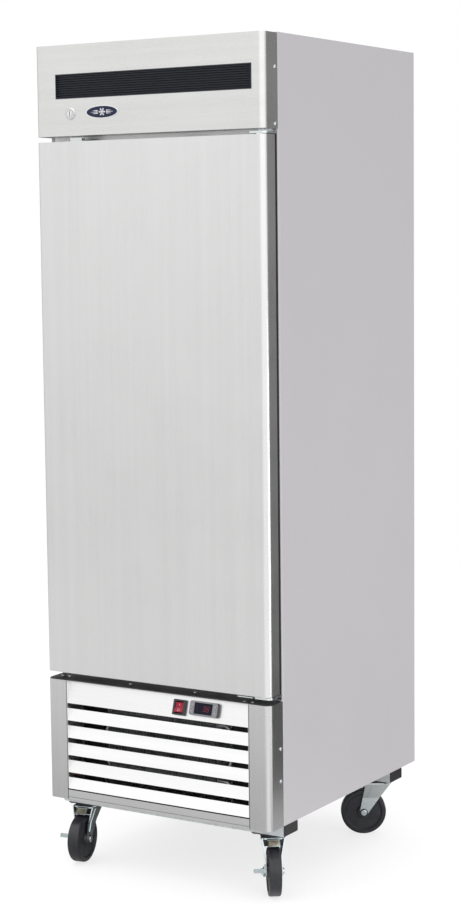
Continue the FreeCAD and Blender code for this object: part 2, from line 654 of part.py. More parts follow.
def switch_housing():
    bezel = rounded_bezel(SWITCH_X, SWITCH_Z, SWITCH_W, SWITCH_H, SWITCH_PROUD, 3.0)
    well = control_box(SWITCH_X, SWITCH_Z, 25.0, 31.4, -20, 20)
    lugs = [control_box(SWITCH_X + dx, SWITCH_Z, 5, 14, 22, 38) for dx in (-8, 8)]
    sockets = rocker_axle(14.0, ROCKER_PIN_R + RUNNING)
    return leaned(cut(fuse([bezel, switch_body(0)] + lugs), [well, sockets]))


def switch_rocker():
    """Two-position rocker on two stub pins; its faces meet in a shallow V over the pivot."""
    pivot = rocker_pivot()
    half_h, x = 13.0, 11.9
    y_in, y_out = pivot.y + 6, FRONT - SWITCH_PROUD
    points = [(y_in, pivot.z - 9), (y_in, pivot.z + 9), (y_out + 1.8, pivot.z + half_h),
              (y_out + 2.4, pivot.z), (y_out - 3.0, pivot.z - half_h)]
    body = profile_x(points, SWITCH_X - x, SWITCH_X + x)
    front_edges = [e for e in body.Edges if e.BoundBox.YMax < y_out + 3 and e.BoundBox.XLength > 1]
    body = body.makeFillet(0.8, front_edges)
    return leaned(fuse([body, rocker_axle(13.6, ROCKER_PIN_R)]))


def controller_housing():
    bezel = rounded_bezel(CONTROL_X, CONTROL_Z, CONTROL_W, CONTROL_H, CONTROL_PROUD, 6.0)
    window = control_box(CONTROL_X, CONTROL_Z, 54.0, 29.0, -CONTROL_PROUD - 1, -CONTROL_PROUD + 2)
    keys = [rod(key_centre(side) - Vector(0, 3, 0), key_centre(side) + Vector(0, 6, 0), KEY_R + CLEAR)
            for side in (-1, 1)]
    return leaned(cut(fuse([bezel, controller_body(0)]), [window] + keys))


def controller_display():
    y = -CONTROL_PROUD
    return leaned(control_box(CONTROL_X, CONTROL_Z, 53.6, 28.6, y + 0.4, y + 2))


def key_centre(side):
    return Vector(CONTROL_X + side * 34.5, FRONT - CONTROL_PROUD, STRIP_BOTTOM + CONTROL_Z)


def controller_key(side):
    centre = key_centre(side)
    along = Vector(0, 1, 0)
    key = Part.makeCylinder(KEY_R, 4.0, centre - along, along)
    return leaned(key.makeFillet(0.6, [e for e in key.Edges if e.BoundBox.YMax < centre.y - 0.9]))


# ---- machine compartment --------------------------------------------------------------
def compressor():
    x, y, z = 150.0, 120.0, BODY_BOTTOM + 16.0
    can = Part.makeCylinder(84, 176, Vector(x, y, z + 6))
    can = can.makeFillet(38, [e for e in can.Edges if e.Curve.TypeId == "Part::GeomCircle"])
    plate = box(x - 95, x + 95, y - 75, y + 75, z, z + 8)
    plate = fillet_upright(plate, [(x + a * 95, y + b * 75, 20) for a in (-1, 1) for b in (-1, 1)])
    feet = [Part.makeCylinder(13, z - BODY_BOTTOM - 2, Vector(x + a * 78, y + b * 58, BODY_BOTTOM + 2))
            for a in (-1, 1) for b in (-1, 1)]
    terminals = box(x - 118, x - 70, y - 28, y + 28, z + 60, z + 130)
    return fuse([can, plate, terminals] + feet)


def condenser_shroud():
    """Box behind the condenser that ends in the fan ring, with the motor's bracket."""
    fan = CONDENSER_FAN
    x0, x1, z0, z1, y0, y1 = -215.0, 145.0, BODY_BOTTOM + 2, 470.0, -262.0, fan.y
    t = 1.2
    shell = box(x0, x1, y0, y1, z0, z1).cut(box(x0 + t, x1 - t, y0 - 1, y1 - t, z0 + t, z1 - t))
    ring_r = FAN_R + 24
    along = Vector(0, 1, 0)
    shell = cut(shell, [Part.makeCylinder(ring_r, 20, Vector(fan.x, y1 - 10, fan.z), along)])
    ring = Part.makeCylinder(ring_r + t, 22, Vector(fan.x, y1 - t, fan.z), along)
    ring = ring.cut(Part.makeCylinder(ring_r, 26, Vector(fan.x, y1 - 3, fan.z), along))
    collar = Part.makeCylinder(34, 12, Vector(fan.x, fan.y + 40, fan.z), along)
    collar = collar.cut(Part.makeCylinder(31, 14, Vector(fan.x, fan.y + 39, fan.z), along))
    arms = []
    for angle in (90, 210, 330):
        arm = box(32.5, ring_r + 6, fan.y + 44, fan.y + 47, -6, 6)
        leg = box(ring_r + t - 0.5, ring_r + 6, fan.y - t, fan.y + 47, -6, 6)
        arm = turned(fuse([arm, leg]), -angle, along, Vector(0, 0, 0))
        arms.append(moved(arm, fan.x, 0, fan.z))
    return fuse([shell, ring, collar] + arms)


def refrigerant_lines():
    """Copper lines: discharge to the condenser, liquid line with its drier, and suction."""
    top = CABIN_BASE - CLEAR
    discharge = bent_tube([Vector(150, 120, 382), Vector(150, 120, 420), Vector(230, 60, 420),
                           Vector(230, -290, 446.4), Vector(141.5, -290, 446.4)], 16, 4)
    liquid = bent_tube([Vector(-211.5, -290, 223.6), Vector(-262, -290, 223.6), Vector(-262, 200, 223.6),
                        Vector(-262, 330, 260), Vector(-262, 330, top)], 18, 3.2)
    drier = Part.makeCylinder(13, 105, Vector(-262, -60, 223.6), Vector(0, 1, 0))
    drier = drier.makeFillet(8, [e for e in drier.Edges if e.Curve.TypeId == "Part::GeomCircle"])
    suction = bent_tube([Vector(234, 120, 290), Vector(290, 120, 290), Vector(290, 290, 330),
                         Vector(290, 290, top)], 18, 5)
    return Part.makeCompound([discharge, fuse([liquid, drier]), suction])


def cord_gland():
    """Empty gland in the back panel where the supply cord leaves."""
    centre, along = Vector(-285, BACK - SHEET, 290), Vector(0, 1, 0)
    nut = Part.makeCylinder(14, 5, centre, along)
    dome = Part.makeCylinder(10.5, 6, centre + along * 5, along)
    dome = dome.makeFillet(3, [e for e in dome.Edges if e.BoundBox.YMin > BACK + 9])
    thread = Part.makeCylinder(8.8, 14, centre - along * 14, along)
    return cut(fuse([nut, dome, thread]), [Part.makeCylinder(4.5, 60, centre - along * 30, along)])


# ---- base and castors -----------------------------------------------------------------
def base_channels():
    t = 2.5
    channels = []
    for y in (FRONT_CHANNEL_Y, REAR_CHANNEL_Y):
        z = BODY_BOTTOM - CHANNEL_HEIGHT
        outer = box(-HALF + 1, HALF - 0.5, y, y + CHANNEL_DEPTH, z, BODY_BOTTOM)
        inner = box(-HALF - 1, HALF + 1, y + t, y + CHANNEL_DEPTH - t, z + t, BODY_BOTTOM - t)
        channels.append(outer.cut(inner))
    return Part.makeCompound(channels)


def castor_plates():
    """Top plate, ball race and kingpin of each castor, riveted together."""
    plates = []
    for x, y, _, _ in CASTORS.values():
        low = FORK_TOP - FORK_CROWN
        plate = box(x - 45, x + 45, y - 33, y + 33, PLATE_TOP - 4, PLATE_TOP)
        plate = fillet_upright(plate, [(x + a * 45, y + b * 33, 8) for a in (-1, 1) for b in (-1, 1)])
        race = Part.makeCylinder(31, 4 - CLEAR, Vector(x, y, FORK_TOP + CLEAR))
        pin = Part.makeCylinder(AXLE_R, PLATE_TOP - low + 4, Vector(x, y, low - 4))
        head = Part.makeCylinder(10, 4 - CLEAR, Vector(x, y, low - 4))
        plates.append(fuse([plate, race, pin, head]))
    return Part.makeCompound(plates)


def fork_band(outline, offset):
    """Sheet of the fork's two legs inside an outline of the trail and height.

    From the crown the sheet runs down and in over the wheel's shoulders, then straight to the axle.
    """
    inner, t, reach = WHEEL_HALF + 3.0 + offset, FORK_SHEET, 30.0 + offset
    knee, base = 104.0, 40.0
    edge = [(inner, base), (inner, knee), (reach - t, FORK_TOP - FORK_CROWN), (reach - t, FORK_TOP),
            (reach, FORK_TOP), (reach, FORK_TOP - FORK_CROWN), (inner + t, knee), (inner + t, base)]
    sheet = profile_x(edge, -60, 90)
    wall = Part.Face(Part.makePolygon([Vector(s, 0, z) for s, z in outline + outline[:1]]))
    leg = sheet.common(wall.extrude(Vector(0, 60, 0)))
    return [leg, leg.mirror(Vector(0, 0, 0), Vector(0, 1, 0))]


def castor_fork(braked):
    """Pressed fork about a kingpin at the origin, trailing to +X, with its axle bolt."""
    inner, t = WHEEL_HALF + 3.0, FORK_SHEET
    along = Vector(0, 1, 0)
    trail, axle_z, eye_r = CASTOR_TRAIL, WHEEL_R, 11.0
    outline = [(-33, FORK_TOP), (37, FORK_TOP), (trail + eye_r * 0.98, axle_z + eye_r * 0.2),
               (trail - eye_r * 0.87, axle_z - eye_r * 0.5)]
    rib = [(2, FORK_TOP - 8), (19, FORK_TOP - 8), (43, 82), (36, 82)]
    eyes = [Part.makeCylinder(eye_r, t, Vector(trail, y, axle_z), along) for y in (inner, -inner - t)]
    crown = box(-33, 37, -30, 30, FORK_TOP - FORK_CROWN, FORK_TOP)
    crown = fillet_upright(crown, [(x, y, 12) for x in (-33, 37) for y in (-30, 30)])
    fork = fuse(fork_band(outline, 0) + fork_band(rib, 1.4) + eyes + [crown])
    if braked:
        shoe = box(0, 22, -15, 15, -2.0, 0)
        shoe = moved(turned(shoe, 48, along, Vector(0, 0, 0)), 36, 0, FORK_TOP - 1)
        shoe = shoe.cut(Part.makeCylinder(WHEEL_R + 1.5, 60, Vector(trail, -30, axle_z), along))
        fork = fuse([fork, shoe])
    bores = [Part.makeCylinder(AXLE_R + RUNNING, 20, Vector(0, 0, FORK_TOP - 12)),
             Part.makeCylinder(AXLE_R, 80, Vector(trail, -40, axle_z), along)]
    right, head = inner + t, 5.0
    left = -inner - t - (5.2 if braked else 0)
    centre = Vector(trail, 0, axle_z)
    axle = fuse([Part.makeCylinder(AXLE_R, right - left, centre + along * left, along),
                 Part.makeCylinder(9, head, centre + along * (left - head), along),
                 Part.makeCylinder(8.5, head, centre + along * right, along)])
    rounded = [e for e in axle.Edges
               if e.BoundBox.YMin > right + head - 0.1 or e.BoundBox.YMax < left - head + 0.1]
    return Part.makeCompound([cut(fork, bores), axle.makeFillet(2, rounded)])


def castor_wheel():
    """Solid wheel about its axle at the origin along Y, with dished sides and a bored hub."""
    r, h = WHEEL_R, WHEEL_HALF
    shoulder = 5.0
    half = [(AXLE_R + RUNNING, h + 2.6), (17, h + 2.6), (19, h - 3), (48, h - 3), (51, h)]
    points = [Vector(a, b, 0) for a, b in half]
    arc_mid = Vector(r - shoulder * 0.293, h - shoulder * 0.293, 0)
    edges = [Part.LineSegment(a, b).toShape() for a, b in zip(points, points[1:])]
    start, end = Vector(r - shoulder, h, 0), Vector(r, h - shoulder, 0)
    edges.append(Part.LineSegment(points[-1], start).toShape())
    edges.append(Part.Arc(start, arc_mid, end).toShape())
    edges.append(Part.LineSegment(end, Vector(r, 0, 0)).toShape())
    edges.append(Part.LineSegment(Vector(r, 0, 0), Vector(AXLE_R + RUNNING, 0, 0)).toShape())
    edges.append(Part.LineSegment(Vector(AXLE_R + RUNNING, 0, 0), points[0]).toShape())
    section = Part.Face(Part.Wire(edges))
    side = section.revolve(Vector(0, 0, 0), Vector(0, 1, 0), 360)
    other = side.mirror(Vector(0, 0, 0), Vector(0, 1, 0))
    return fuse([side, other])


def castor_brake():
    """Foot lever beside the fork, on the axle at the origin along Y, with its pad raised."""
    y = WHEEL_HALF + 3.0 + 3.0 + CLEAR
    t, reach = 4.6, 29.0
    along = Vector(0, -1, 0)
    hub = Part.makeCylinder(13, t, Vector(0, -y, 0), along)
    arm = box(0, reach, -y - t, -y, -9, 9)
    pad = box(12, reach, -y - 30, -y, -2, 2)
    grip = box(reach - 4, reach, -y - 30, -y - t, -8, 2)
    body = turned(fuse([hub, arm, pad, grip]), BRAKE_REST, along, Vector(0, 0, 0))
    return cut(body, [Part.makeCylinder(AXLE_R + RUNNING, 30, Vector(0, 0, 0), along)])


def place_castor(shape, name):
    """Moves a piece built about a kingpin at the origin, trailing to +X, to its castor."""
    x, y, heading, _ = CASTORS[name]
    return moved(turned(shape, heading, Vector(0, 0, 1), Vector(0, 0, 0)), x, y)


# ---- screws ---------------------------------------------------------------------------
def screw_head(centre, out):
    """Domed head with a cross recess, seated on a panel at centre and facing out."""
    head = Part.makeCylinder(4.5, 2.2, Vector(0, 0, 0), Vector(0, 0, 1))
    head = head.makeFillet(1.4, [e for e in head.Edges if e.BoundBox.ZMin > 2.1])
    head = cut(head, [box(-2.4, 2.4, -0.45, 0.45, 1.0, 3), box(-0.45, 0.45, -2.4, 2.4, 1.0, 3)])
    turn = Rotation(Vector(0, 0, 1), out)
    head.Placement = FreeCAD.Placement(centre, turn)
    return head


def panel_screws():
    """Every visible panel screw, as one group of equal fasteners."""
    heads = []
    for side in (-1, 1):
        out = Vector(side, 0, 0)
        for z in (HEADER_TOP - 82, HEADER_BOTTOM + 11, 386.0, 303.0):
            heads.append(screw_head(Vector(side * HALF, FACE - 11, z), out))
        for z in (260.0, 700.0, 1140.0, 1580.0, 2020.0):
            heads.append(screw_head(Vector(side * (HALF - 12), BACK, z), Vector(0, 1, 0)))
    for x in (300.0, 324.0):
        for z in (DOOR_TOP + 40, DOOR_BOTTOM - 38):
            heads.append(screw_head(Vector(x, FACE - 4, z), Vector(0, -1, 0)))
    for x in (-318.0, -296.0, -100.0, 100.0):
        heads.append(screw_head(Vector(x, FRONT + 36, LOWER_TOP + 2.5), Vector(0, 0, 1)))
    return Part.makeCompound(heads)


# ---- assembly -------------------------------------------------------------------------
def all_parts():
    parts = {
        "side_panel_left": side_panel(-1),
        "side_panel_right": side_panel(1),
        "top_panel": top_panel(),
        "back_panel": back_panel(),
        "cabinet_insulation": cabinet_insulation(),
        "interior_liner": interior_liner(),
        "front_frame": front_frame(),
        "shelf_pilasters": shelf_pilasters(),
        "shelf_clips": shelf_clips(),
        "evaporator_cover": evaporator_cover(),
        "evaporator_coil": evaporator_coil(),
        "evaporator_fan": evaporator_fan(),
        "interior_lamp": interior_lamp(),
        "header_panel": header_panel(),
        "header_grille": header_grille(),
        "header_badge": header_badge(),
        "lock_housing": lock_housing(),
        "lock_plug": lock_plug(),
        "upper_hinge": upper_hinge(),
        "lower_hinge": lower_hinge(),
        "door_outer_panel": door_outer_panel(),
        "door_inner_panel": door_inner_panel(),
        "door_insulation": door_insulation(),
        "door_gasket": door_gasket(),
        "door_hinge_bushes": door_hinge_bushes(),
        "door_pull": door_pull(),
        "lock_strike": lock_strike(),
        "corner_posts": corner_posts(),
        "louvre_panel": louvre_panel(),
        "lower_cap": lower_cap(),
        "machine_base": machine_base(),
        "switch_housing": switch_housing(),
        "switch_rocker": switch_rocker(),
        "controller_housing": controller_housing(),
        "controller_display": controller_display(),
        "controller_key_left": controller_key(-1),
        "controller_key_right": controller_key(1),
        "compressor": compressor(),
        "condenser_coil": condenser_coil(),
        "condenser_shroud": condenser_shroud(),
        "condenser_fan": condenser_fan(),
        "fan_motors": fan_motors(),
        "refrigerant_lines": refrigerant_lines(),
        "cord_gland": cord_gland(),
        "base_channels": base_channels(),
        "castor_plates": castor_plates(),
        "panel_screws": panel_screws(),
    }
    shelf = wire_shelf(0)
    for name, level in zip(("bottom", "middle", "top"), SHELF_LEVELS):
        parts["wire_shelf_" + name] = moved(shelf, z=level)
    wheel = moved(castor_wheel(), CASTOR_TRAIL, 0, WHEEL_R)
    brake = moved(castor_brake(), CASTOR_TRAIL, 0, WHEEL_R)
    for name, (_, _, _, braked) in CASTORS.items():
        parts["castor_fork_" + name] = place_castor(castor_fork(braked), name)
        parts["castor_wheel_" + name] = place_castor(wheel, name)
        if braked:
            parts["castor_brake_" + name] = place_castor(brake, name)
    return parts


os.makedirs("parts", exist_ok=True)
for part_name, part_shape in all_parts().items():
    part_shape.exportStep("parts/" + part_name + ".step")
    bounds = part_shape.BoundBox
    print(f"{part_name}: {len(part_shape.Solids)} solid(s), valid {part_shape.isValid()}, "
          f"x {bounds.XMin:.1f}..{bounds.XMax:.1f} y {bounds.YMin:.1f}..{bounds.YMax:.1f} "
          f"z {bounds.ZMin:.1f}..{bounds.ZMax:.1f}")
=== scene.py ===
import json
import math

import bmesh
import bpy
from mathutils import Matrix, Vector


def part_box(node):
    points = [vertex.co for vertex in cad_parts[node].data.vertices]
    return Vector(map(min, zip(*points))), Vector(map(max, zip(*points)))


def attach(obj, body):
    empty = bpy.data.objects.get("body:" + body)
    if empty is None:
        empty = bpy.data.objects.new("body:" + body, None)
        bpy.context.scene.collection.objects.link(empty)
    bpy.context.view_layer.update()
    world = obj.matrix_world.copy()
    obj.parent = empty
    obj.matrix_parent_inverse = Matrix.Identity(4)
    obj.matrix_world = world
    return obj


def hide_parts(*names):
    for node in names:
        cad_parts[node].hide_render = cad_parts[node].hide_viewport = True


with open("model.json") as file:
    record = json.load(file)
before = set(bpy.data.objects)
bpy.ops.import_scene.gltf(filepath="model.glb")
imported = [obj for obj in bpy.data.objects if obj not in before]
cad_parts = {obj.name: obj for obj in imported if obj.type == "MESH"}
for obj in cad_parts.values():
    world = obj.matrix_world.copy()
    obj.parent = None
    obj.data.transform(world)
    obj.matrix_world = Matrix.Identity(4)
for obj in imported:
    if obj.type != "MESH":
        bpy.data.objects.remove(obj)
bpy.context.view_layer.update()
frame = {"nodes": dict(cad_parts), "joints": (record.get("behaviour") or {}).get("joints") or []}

# One-door reach-in refrigerator. Everything is in metres in the frame of the CAD model:
# X to the right, Y to the back, Z up, the origin on the floor under the cabinet's middle.
NODES = frame["nodes"]
JOINTS = {joint["name"]: joint for joint in frame["joints"]}
MM = 0.001


def joint_point(name):
    """A point on a joint's axis."""
    return Vector(JOINTS[name]["pos_m"])


def joint_axis(name):
    """The direction in which a joint turns or moves."""
    return Vector(JOINTS[name]["axis"]).normalized()


# ---- places read from the frame -----------------------------------------------------------
DOOR_LOW, DOOR_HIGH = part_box("door_outer_panel")
HEADER_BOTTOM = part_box("header_panel")[0].z
LOWER_CAP_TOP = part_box("lower_cap")[1].z
FRONT = DOOR_LOW.y
HALF = DOOR_HIGH.x

# The control strip leans: the keys move into it, and its own upward direction follows from that.
STRIP_OUT = -joint_axis("key_press_left")
STRIP_UP = STRIP_OUT.cross(Vector((1, 0, 0)))

CASTOR_NAMES = ("front_left", "front_right", "rear_left", "rear_right")
SIDES = (-1, 1)


# ---- camera -------------------------------------------------------------------------------
CAMERA_PLACE = Vector((2.8622, -4.6371, 1.6707))
CAMERA_YAW, CAMERA_PITCH, CAMERA_ROLL = (math.radians(a) for a in (31.797, -6.191, -0.643))
CAMERA_LENS = 80.23


def make_camera():
    """The photo's camera, found by fitting the cabinet's straight edges."""
    ahead = Vector((-math.sin(CAMERA_YAW) * math.cos(CAMERA_PITCH),
                    math.cos(CAMERA_YAW) * math.cos(CAMERA_PITCH), math.sin(CAMERA_PITCH)))
    level = Vector((math.cos(CAMERA_YAW), math.sin(CAMERA_YAW), 0))
    up = level.cross(ahead)
    right = level * math.cos(CAMERA_ROLL) + up * math.sin(CAMERA_ROLL)
    top = up * math.cos(CAMERA_ROLL) - level * math.sin(CAMERA_ROLL)
    data = bpy.data.cameras.new("camera")
    data.sensor_width = 36.0
    data.lens = CAMERA_LENS
    camera = bpy.data.objects.new("camera", data)
    turn = Matrix((right, top, -ahead)).transposed().to_4x4()
    camera.matrix_world = Matrix.Translation(CAMERA_PLACE) @ turn
    bpy.context.scene.collection.objects.link(camera)
    bpy.context.scene.camera = camera


# ---- node trees ---------------------------------------------------------------------------
class Tree:
    """Short way to write a node tree: each call adds one node and returns its first output."""

    def __init__(self, tree):
        self.tree = tree

    def put(self, socket, value):
        """Sets a socket to a value or links it to another node's output."""
        if isinstance(value, bpy.types.NodeSocket):
            self.tree.links.new(value, socket)
        else:
            socket.default_value = value

    def add(self, kind, inputs=(), output=0, **settings):
        """Any node, with its inputs by name or number."""
        node = self.tree.nodes.new(kind)
        for key, value in settings.items():
            setattr(node, key, value)
        for key, value in dict(inputs).items():
            self.put(node.inputs[key], value)
        return node.outputs[output]

    def math(self, operation, a, b=0.0, c=0.0):
        return self.add("ShaderNodeMath", {0: a, 1: b, 2: c}, operation=operation)

    def remap(self, value, low, high, to_low, to_high, smooth=False):
        """Carries a value from one range to another, clamped at both ends."""
        return self.add("ShaderNodeMapRange", {0: value, 1: low, 2: high, 3: to_low, 4: to_high},
                        interpolation_type="SMOOTHSTEP" if smooth else "LINEAR")

    def product(self, first, *factors):
        """Multiplies any number of values."""
        for factor in factors:
            first = self.math("MULTIPLY", first, factor)
        return first

    def facing(self, way, direction):
        """How far a unit vector points in a direction, from -1 to 1."""
        unit = Vector(direction).normalized()
        return self.add("ShaderNodeVectorMath", {0: way, 1: unit}, 1, operation="DOT_PRODUCT")

    def mix(self, share, a, b):
        """Mixes two colours."""
        a, b = (c if isinstance(c, bpy.types.NodeSocket) else (*c, 1.0) for c in (a, b))
        return self.add("ShaderNodeMix", {0: share, 6: a, 7: b}, 2, data_type="RGBA")

    def scaled(self, scale):
        """Object coordinates, stretched."""
        place = self.add("ShaderNodeTexCoord", output=3)
        return self.add("ShaderNodeMapping", {0: place, 3: scale})

    def noise(self, scale, detail=2.0, rough=0.5, vector=None):
        vector = vector or self.scaled((1, 1, 1))
        return self.add("ShaderNodeTexNoise", {"Vector": vector, "Scale": scale, "Detail": detail,
                                               "Roughness": rough})

    def bump(self, height, strength, distance, under=None):
        inputs = {"Height": height, "Strength": strength, "Distance": distance}
        if under is not None:
            inputs["Normal"] = under
        return self.add("ShaderNodeBump", inputs)


def start_material(name, **sockets):
    """A material and its tree; the values that are the same all over are set on the shader."""
    material = bpy.data.materials.new(name)
    material.use_nodes = True
    shader = material.node_tree.nodes["Principled BSDF"]
    for key, value in sockets.items():
        shader.inputs[key.replace("_", " ")].default_value = value
    return material, Tree(material.node_tree), shader


def shade(name, tone, rough, normal, **sockets):
    """A material whose colour, roughness and bump are values or functions of its tree."""
    material, tree, shader = start_material(name, **sockets)
    for key, make in (("Base Color", tone), ("Roughness", rough), ("Normal", normal)):
        value = make(tree) if callable(make) else make
        if value is not None:
            tree.put(shader.inputs[key], value)
    return material


def tinted(colour, factor):
    """A lighter or darker colour."""
    return tuple(min(1.0, c * factor) for c in colour)


# ---- materials ----------------------------------------------------------------------------
def brushed_steel(name, colour, rough, grain, contrast=0.05):
    """Stainless sheet with fine grain along one axis, faint bands and soft handling marks."""
    fine = tuple(9 if i == grain else 2600 for i in range(3))
    broad = tuple(0.8 if i == grain else 45 for i in range(3))

    def streaks(t):
        return t.noise(1.0, 3.0, 0.6, t.scaled(fine))

    def tone(t):
        bands = t.noise(1.0, 2.0, 0.5, t.scaled(broad))
        both = t.math("ADD", t.math("MULTIPLY", streaks(t), 0.6), t.math("MULTIPLY", bands, 0.4))
        share = t.remap(both, 0.3, 0.7, 0, 1)
        return t.mix(share, tinted(colour, 1 - contrast), tinted(colour, 1 + contrast))

    def roughness(t):
        marks = t.noise(5.0, 3.0, 0.6)
        base = t.remap(streaks(t), 0.3, 0.7, rough - 0.04, rough + 0.04)
        return t.math("ADD", base, t.remap(marks, 0.35, 0.75, -0.02, 0.05))

    def normal(t):
        waves = t.bump(t.noise(2.2, 1.0, 0.4), 0.10, 3 * MM)
        return t.bump(streaks(t), 0.10, 0.02 * MM, waves)

    return shade(name, tone, roughness, normal, Metallic=1.0)


def coated(name, colour, rough, peel=0.12, mottle=0.02, scale=900.0, **sockets):
    """Paint, powder coat or moulded plastic: fine surface texture and a faint change of tone."""
    def tone(t):
        return t.mix(t.noise(3.0, 3.0), tinted(colour, 1 - mottle), tinted(colour, 1 + mottle))

    def roughness(t):
        return t.remap(t.noise(14.0, 3.0), 0.3, 0.7, rough - 0.03, rough + 0.04)

    def normal(t):
        return t.bump(t.noise(scale, 2.0), peel, 0.05 * MM)

    return shade(name, tone, roughness, normal, **sockets)


def galvanised(name, colour):
    """Hot-dip zinc with spangles."""
    def cells(t, output):
        return t.add("ShaderNodeTexVoronoi", {"Vector": t.scaled((1, 1, 1)), "Scale": 110.0}, output)

    def tone(t):
        grey = t.add("ShaderNodeRGBToBW", {0: cells(t, 1)})
        return t.mix(grey, tinted(colour, 0.86), tinted(colour, 1.1))

    def roughness(t):
        return t.remap(t.add("ShaderNodeRGBToBW", {0: cells(t, 1)}), 0, 1, 0.34, 0.55)

    def normal(t):
        return t.bump(cells(t, 0), 0.08, 0.2 * MM)

    return shade(name, tone, roughness, normal, Metallic=0.55)


def plated(name, colour, tint, rough):
    """Bright zinc plate on pressed steel, with a drifting tint and worn patches."""
    def tone(t):
        drift = t.mix(t.remap(t.noise(22.0, 3.0), 0.35, 0.65, 0, 1), colour, tint)
        worn = t.remap(t.noise(70.0, 4.0, 0.65), 0.58, 0.7, 0.0, 0.5)
        return t.mix(worn, drift, tinted(colour, 0.62))

    def roughness(t):
        return t.remap(t.noise(60.0, 4.0, 0.6), 0.3, 0.7, rough - 0.08, rough + 0.12)

    def normal(t):
        return t.bump(t.noise(350.0, 3.0), 0.12, 0.1 * MM)

    return shade(name, tone, roughness, normal, Metallic=1.0)


def tread_rubber(name):
    """Black wheel rubber with dusty patches."""
    colour, dust = (0.0085, 0.0090, 0.0120), (0.022, 0.023, 0.028)

    def tone(t):
        patches = t.remap(t.noise(55.0, 4.0, 0.6), 0.45, 0.75, 0, 0.7)
        return t.mix(patches, colour, dust)

    def roughness(t):
        return t.remap(t.noise(40.0, 3.0), 0.3, 0.7, 0.38, 0.55)

    def normal(t):
        return t.bump(t.noise(500.0, 3.0), 0.15, 0.1 * MM)

    return shade(name, tone, roughness, normal)


def foam(name):
    """Cut polyurethane foam with fine open cells."""
    def cells(t):
        return t.add("ShaderNodeTexVoronoi", {"Vector": t.scaled((1, 1, 1)), "Scale": 700.0})

    def tone(t):
        return t.mix(cells(t), (0.72, 0.60, 0.33), (0.86, 0.76, 0.50))

    def normal(t):
        return t.bump(cells(t), 0.4, 0.5 * MM)

    return shade(name, tone, 0.85, normal)


def copper(name):
    """Copper pipe with tarnished stretches."""
    def tone(t):
        tarnish = t.remap(t.noise(30.0, 4.0, 0.6), 0.45, 0.7, 0, 1)
        return t.mix(tarnish, (0.86, 0.47, 0.30), (0.40, 0.20, 0.13))

    def roughness(t):
        return t.remap(t.noise(45.0, 3.0), 0.3, 0.7, 0.24, 0.48)

    return shade(name, tone, roughness, None, Metallic=1.0)


def badge_enamel(name, centre, wide, high):
    """Navy enamel inside the badge's raised rim, and bright metal on the rim itself."""
    def inside(t):
        place = t.add("ShaderNodeTexCoord", output=3)
        split = t.tree.nodes.new("ShaderNodeSeparateXYZ")
        t.put(split.inputs[0], place)
        across = t.math("DIVIDE", t.math("SUBTRACT", split.outputs[0], centre.x), wide / 2)
        up = t.math("DIVIDE", t.math("SUBTRACT", split.outputs[2], centre.z), high / 2)
        return t.math("LESS_THAN", t.math("ADD", t.math("MULTIPLY", across, across),
                                          t.math("MULTIPLY", up, up)), 1.0)

    def tone(t):
        blue = t.mix(t.noise(90.0, 3.0), (0.007, 0.010, 0.030), (0.011, 0.016, 0.046))
        return t.mix(inside(t), (0.70, 0.71, 0.73), blue)

    def roughness(t):
        return t.remap(t.noise(60.0), 0.3, 0.7, 0.16, 0.28)

    return shade(name, tone, roughness, None, Specular_IOR_Level=0.3)


def glowing_plastic(name, colour, glow, strength, rough=0.3, **sockets):
    """Coloured plastic that glows unevenly: the light of a lamp behind it for the digits and the lamp's
    lens, and painted light for the rocker's faint glow.
    """
    def tone(t):
        return t.mix(t.noise(160.0, 2.0), tinted(colour, 0.75), tinted(colour, 1.15))

    sockets = {"Emission_Color": (*glow, 1.0), "Emission_Strength": strength, **sockets}
    return shade(name, tone, rough, lambda t: t.bump(t.noise(500.0), 0.05, 0.05 * MM), **sockets)


def finned(name, colour):
    """Aluminium fin stock: fine streaks across the fins and a little dust."""
    def tone(t):
        dust = t.remap(t.noise(25.0, 4.0), 0.5, 0.8, 0, 0.6)
        return t.mix(dust, colour, tinted(colour, 0.55))

    def normal(t):
        return t.bump(t.noise(1.0, 2.0, 0.5, t.scaled((60, 900, 900))), 0.15, 0.1 * MM)

    return shade(name, tone, 0.38, normal, Metallic=1.0)


def bezel_with_painted_side_shade(name, front, sides):
    """Grey face with painted shade on the sides: the tone turns dark where the surface turns away from the
    strip.
    """
    def tone(t):
        turned = t.facing(t.add("ShaderNodeNewGeometry", output=1), STRIP_OUT)
        grey = t.mix(t.noise(60.0, 3.0), tinted(front, 0.93), tinted(front, 1.07))
        return t.mix(t.remap(turned, 0.35, 0.60, 0, 1, True), sides, grey)

    def roughness(t):
        return t.remap(t.noise(30.0, 3.0), 0.3, 0.7, 0.34, 0.42)

    return shade(name, tone, roughness, lambda t: t.bump(t.noise(900.0, 2.0), 0.2, 0.05 * MM), Metallic=0.3)
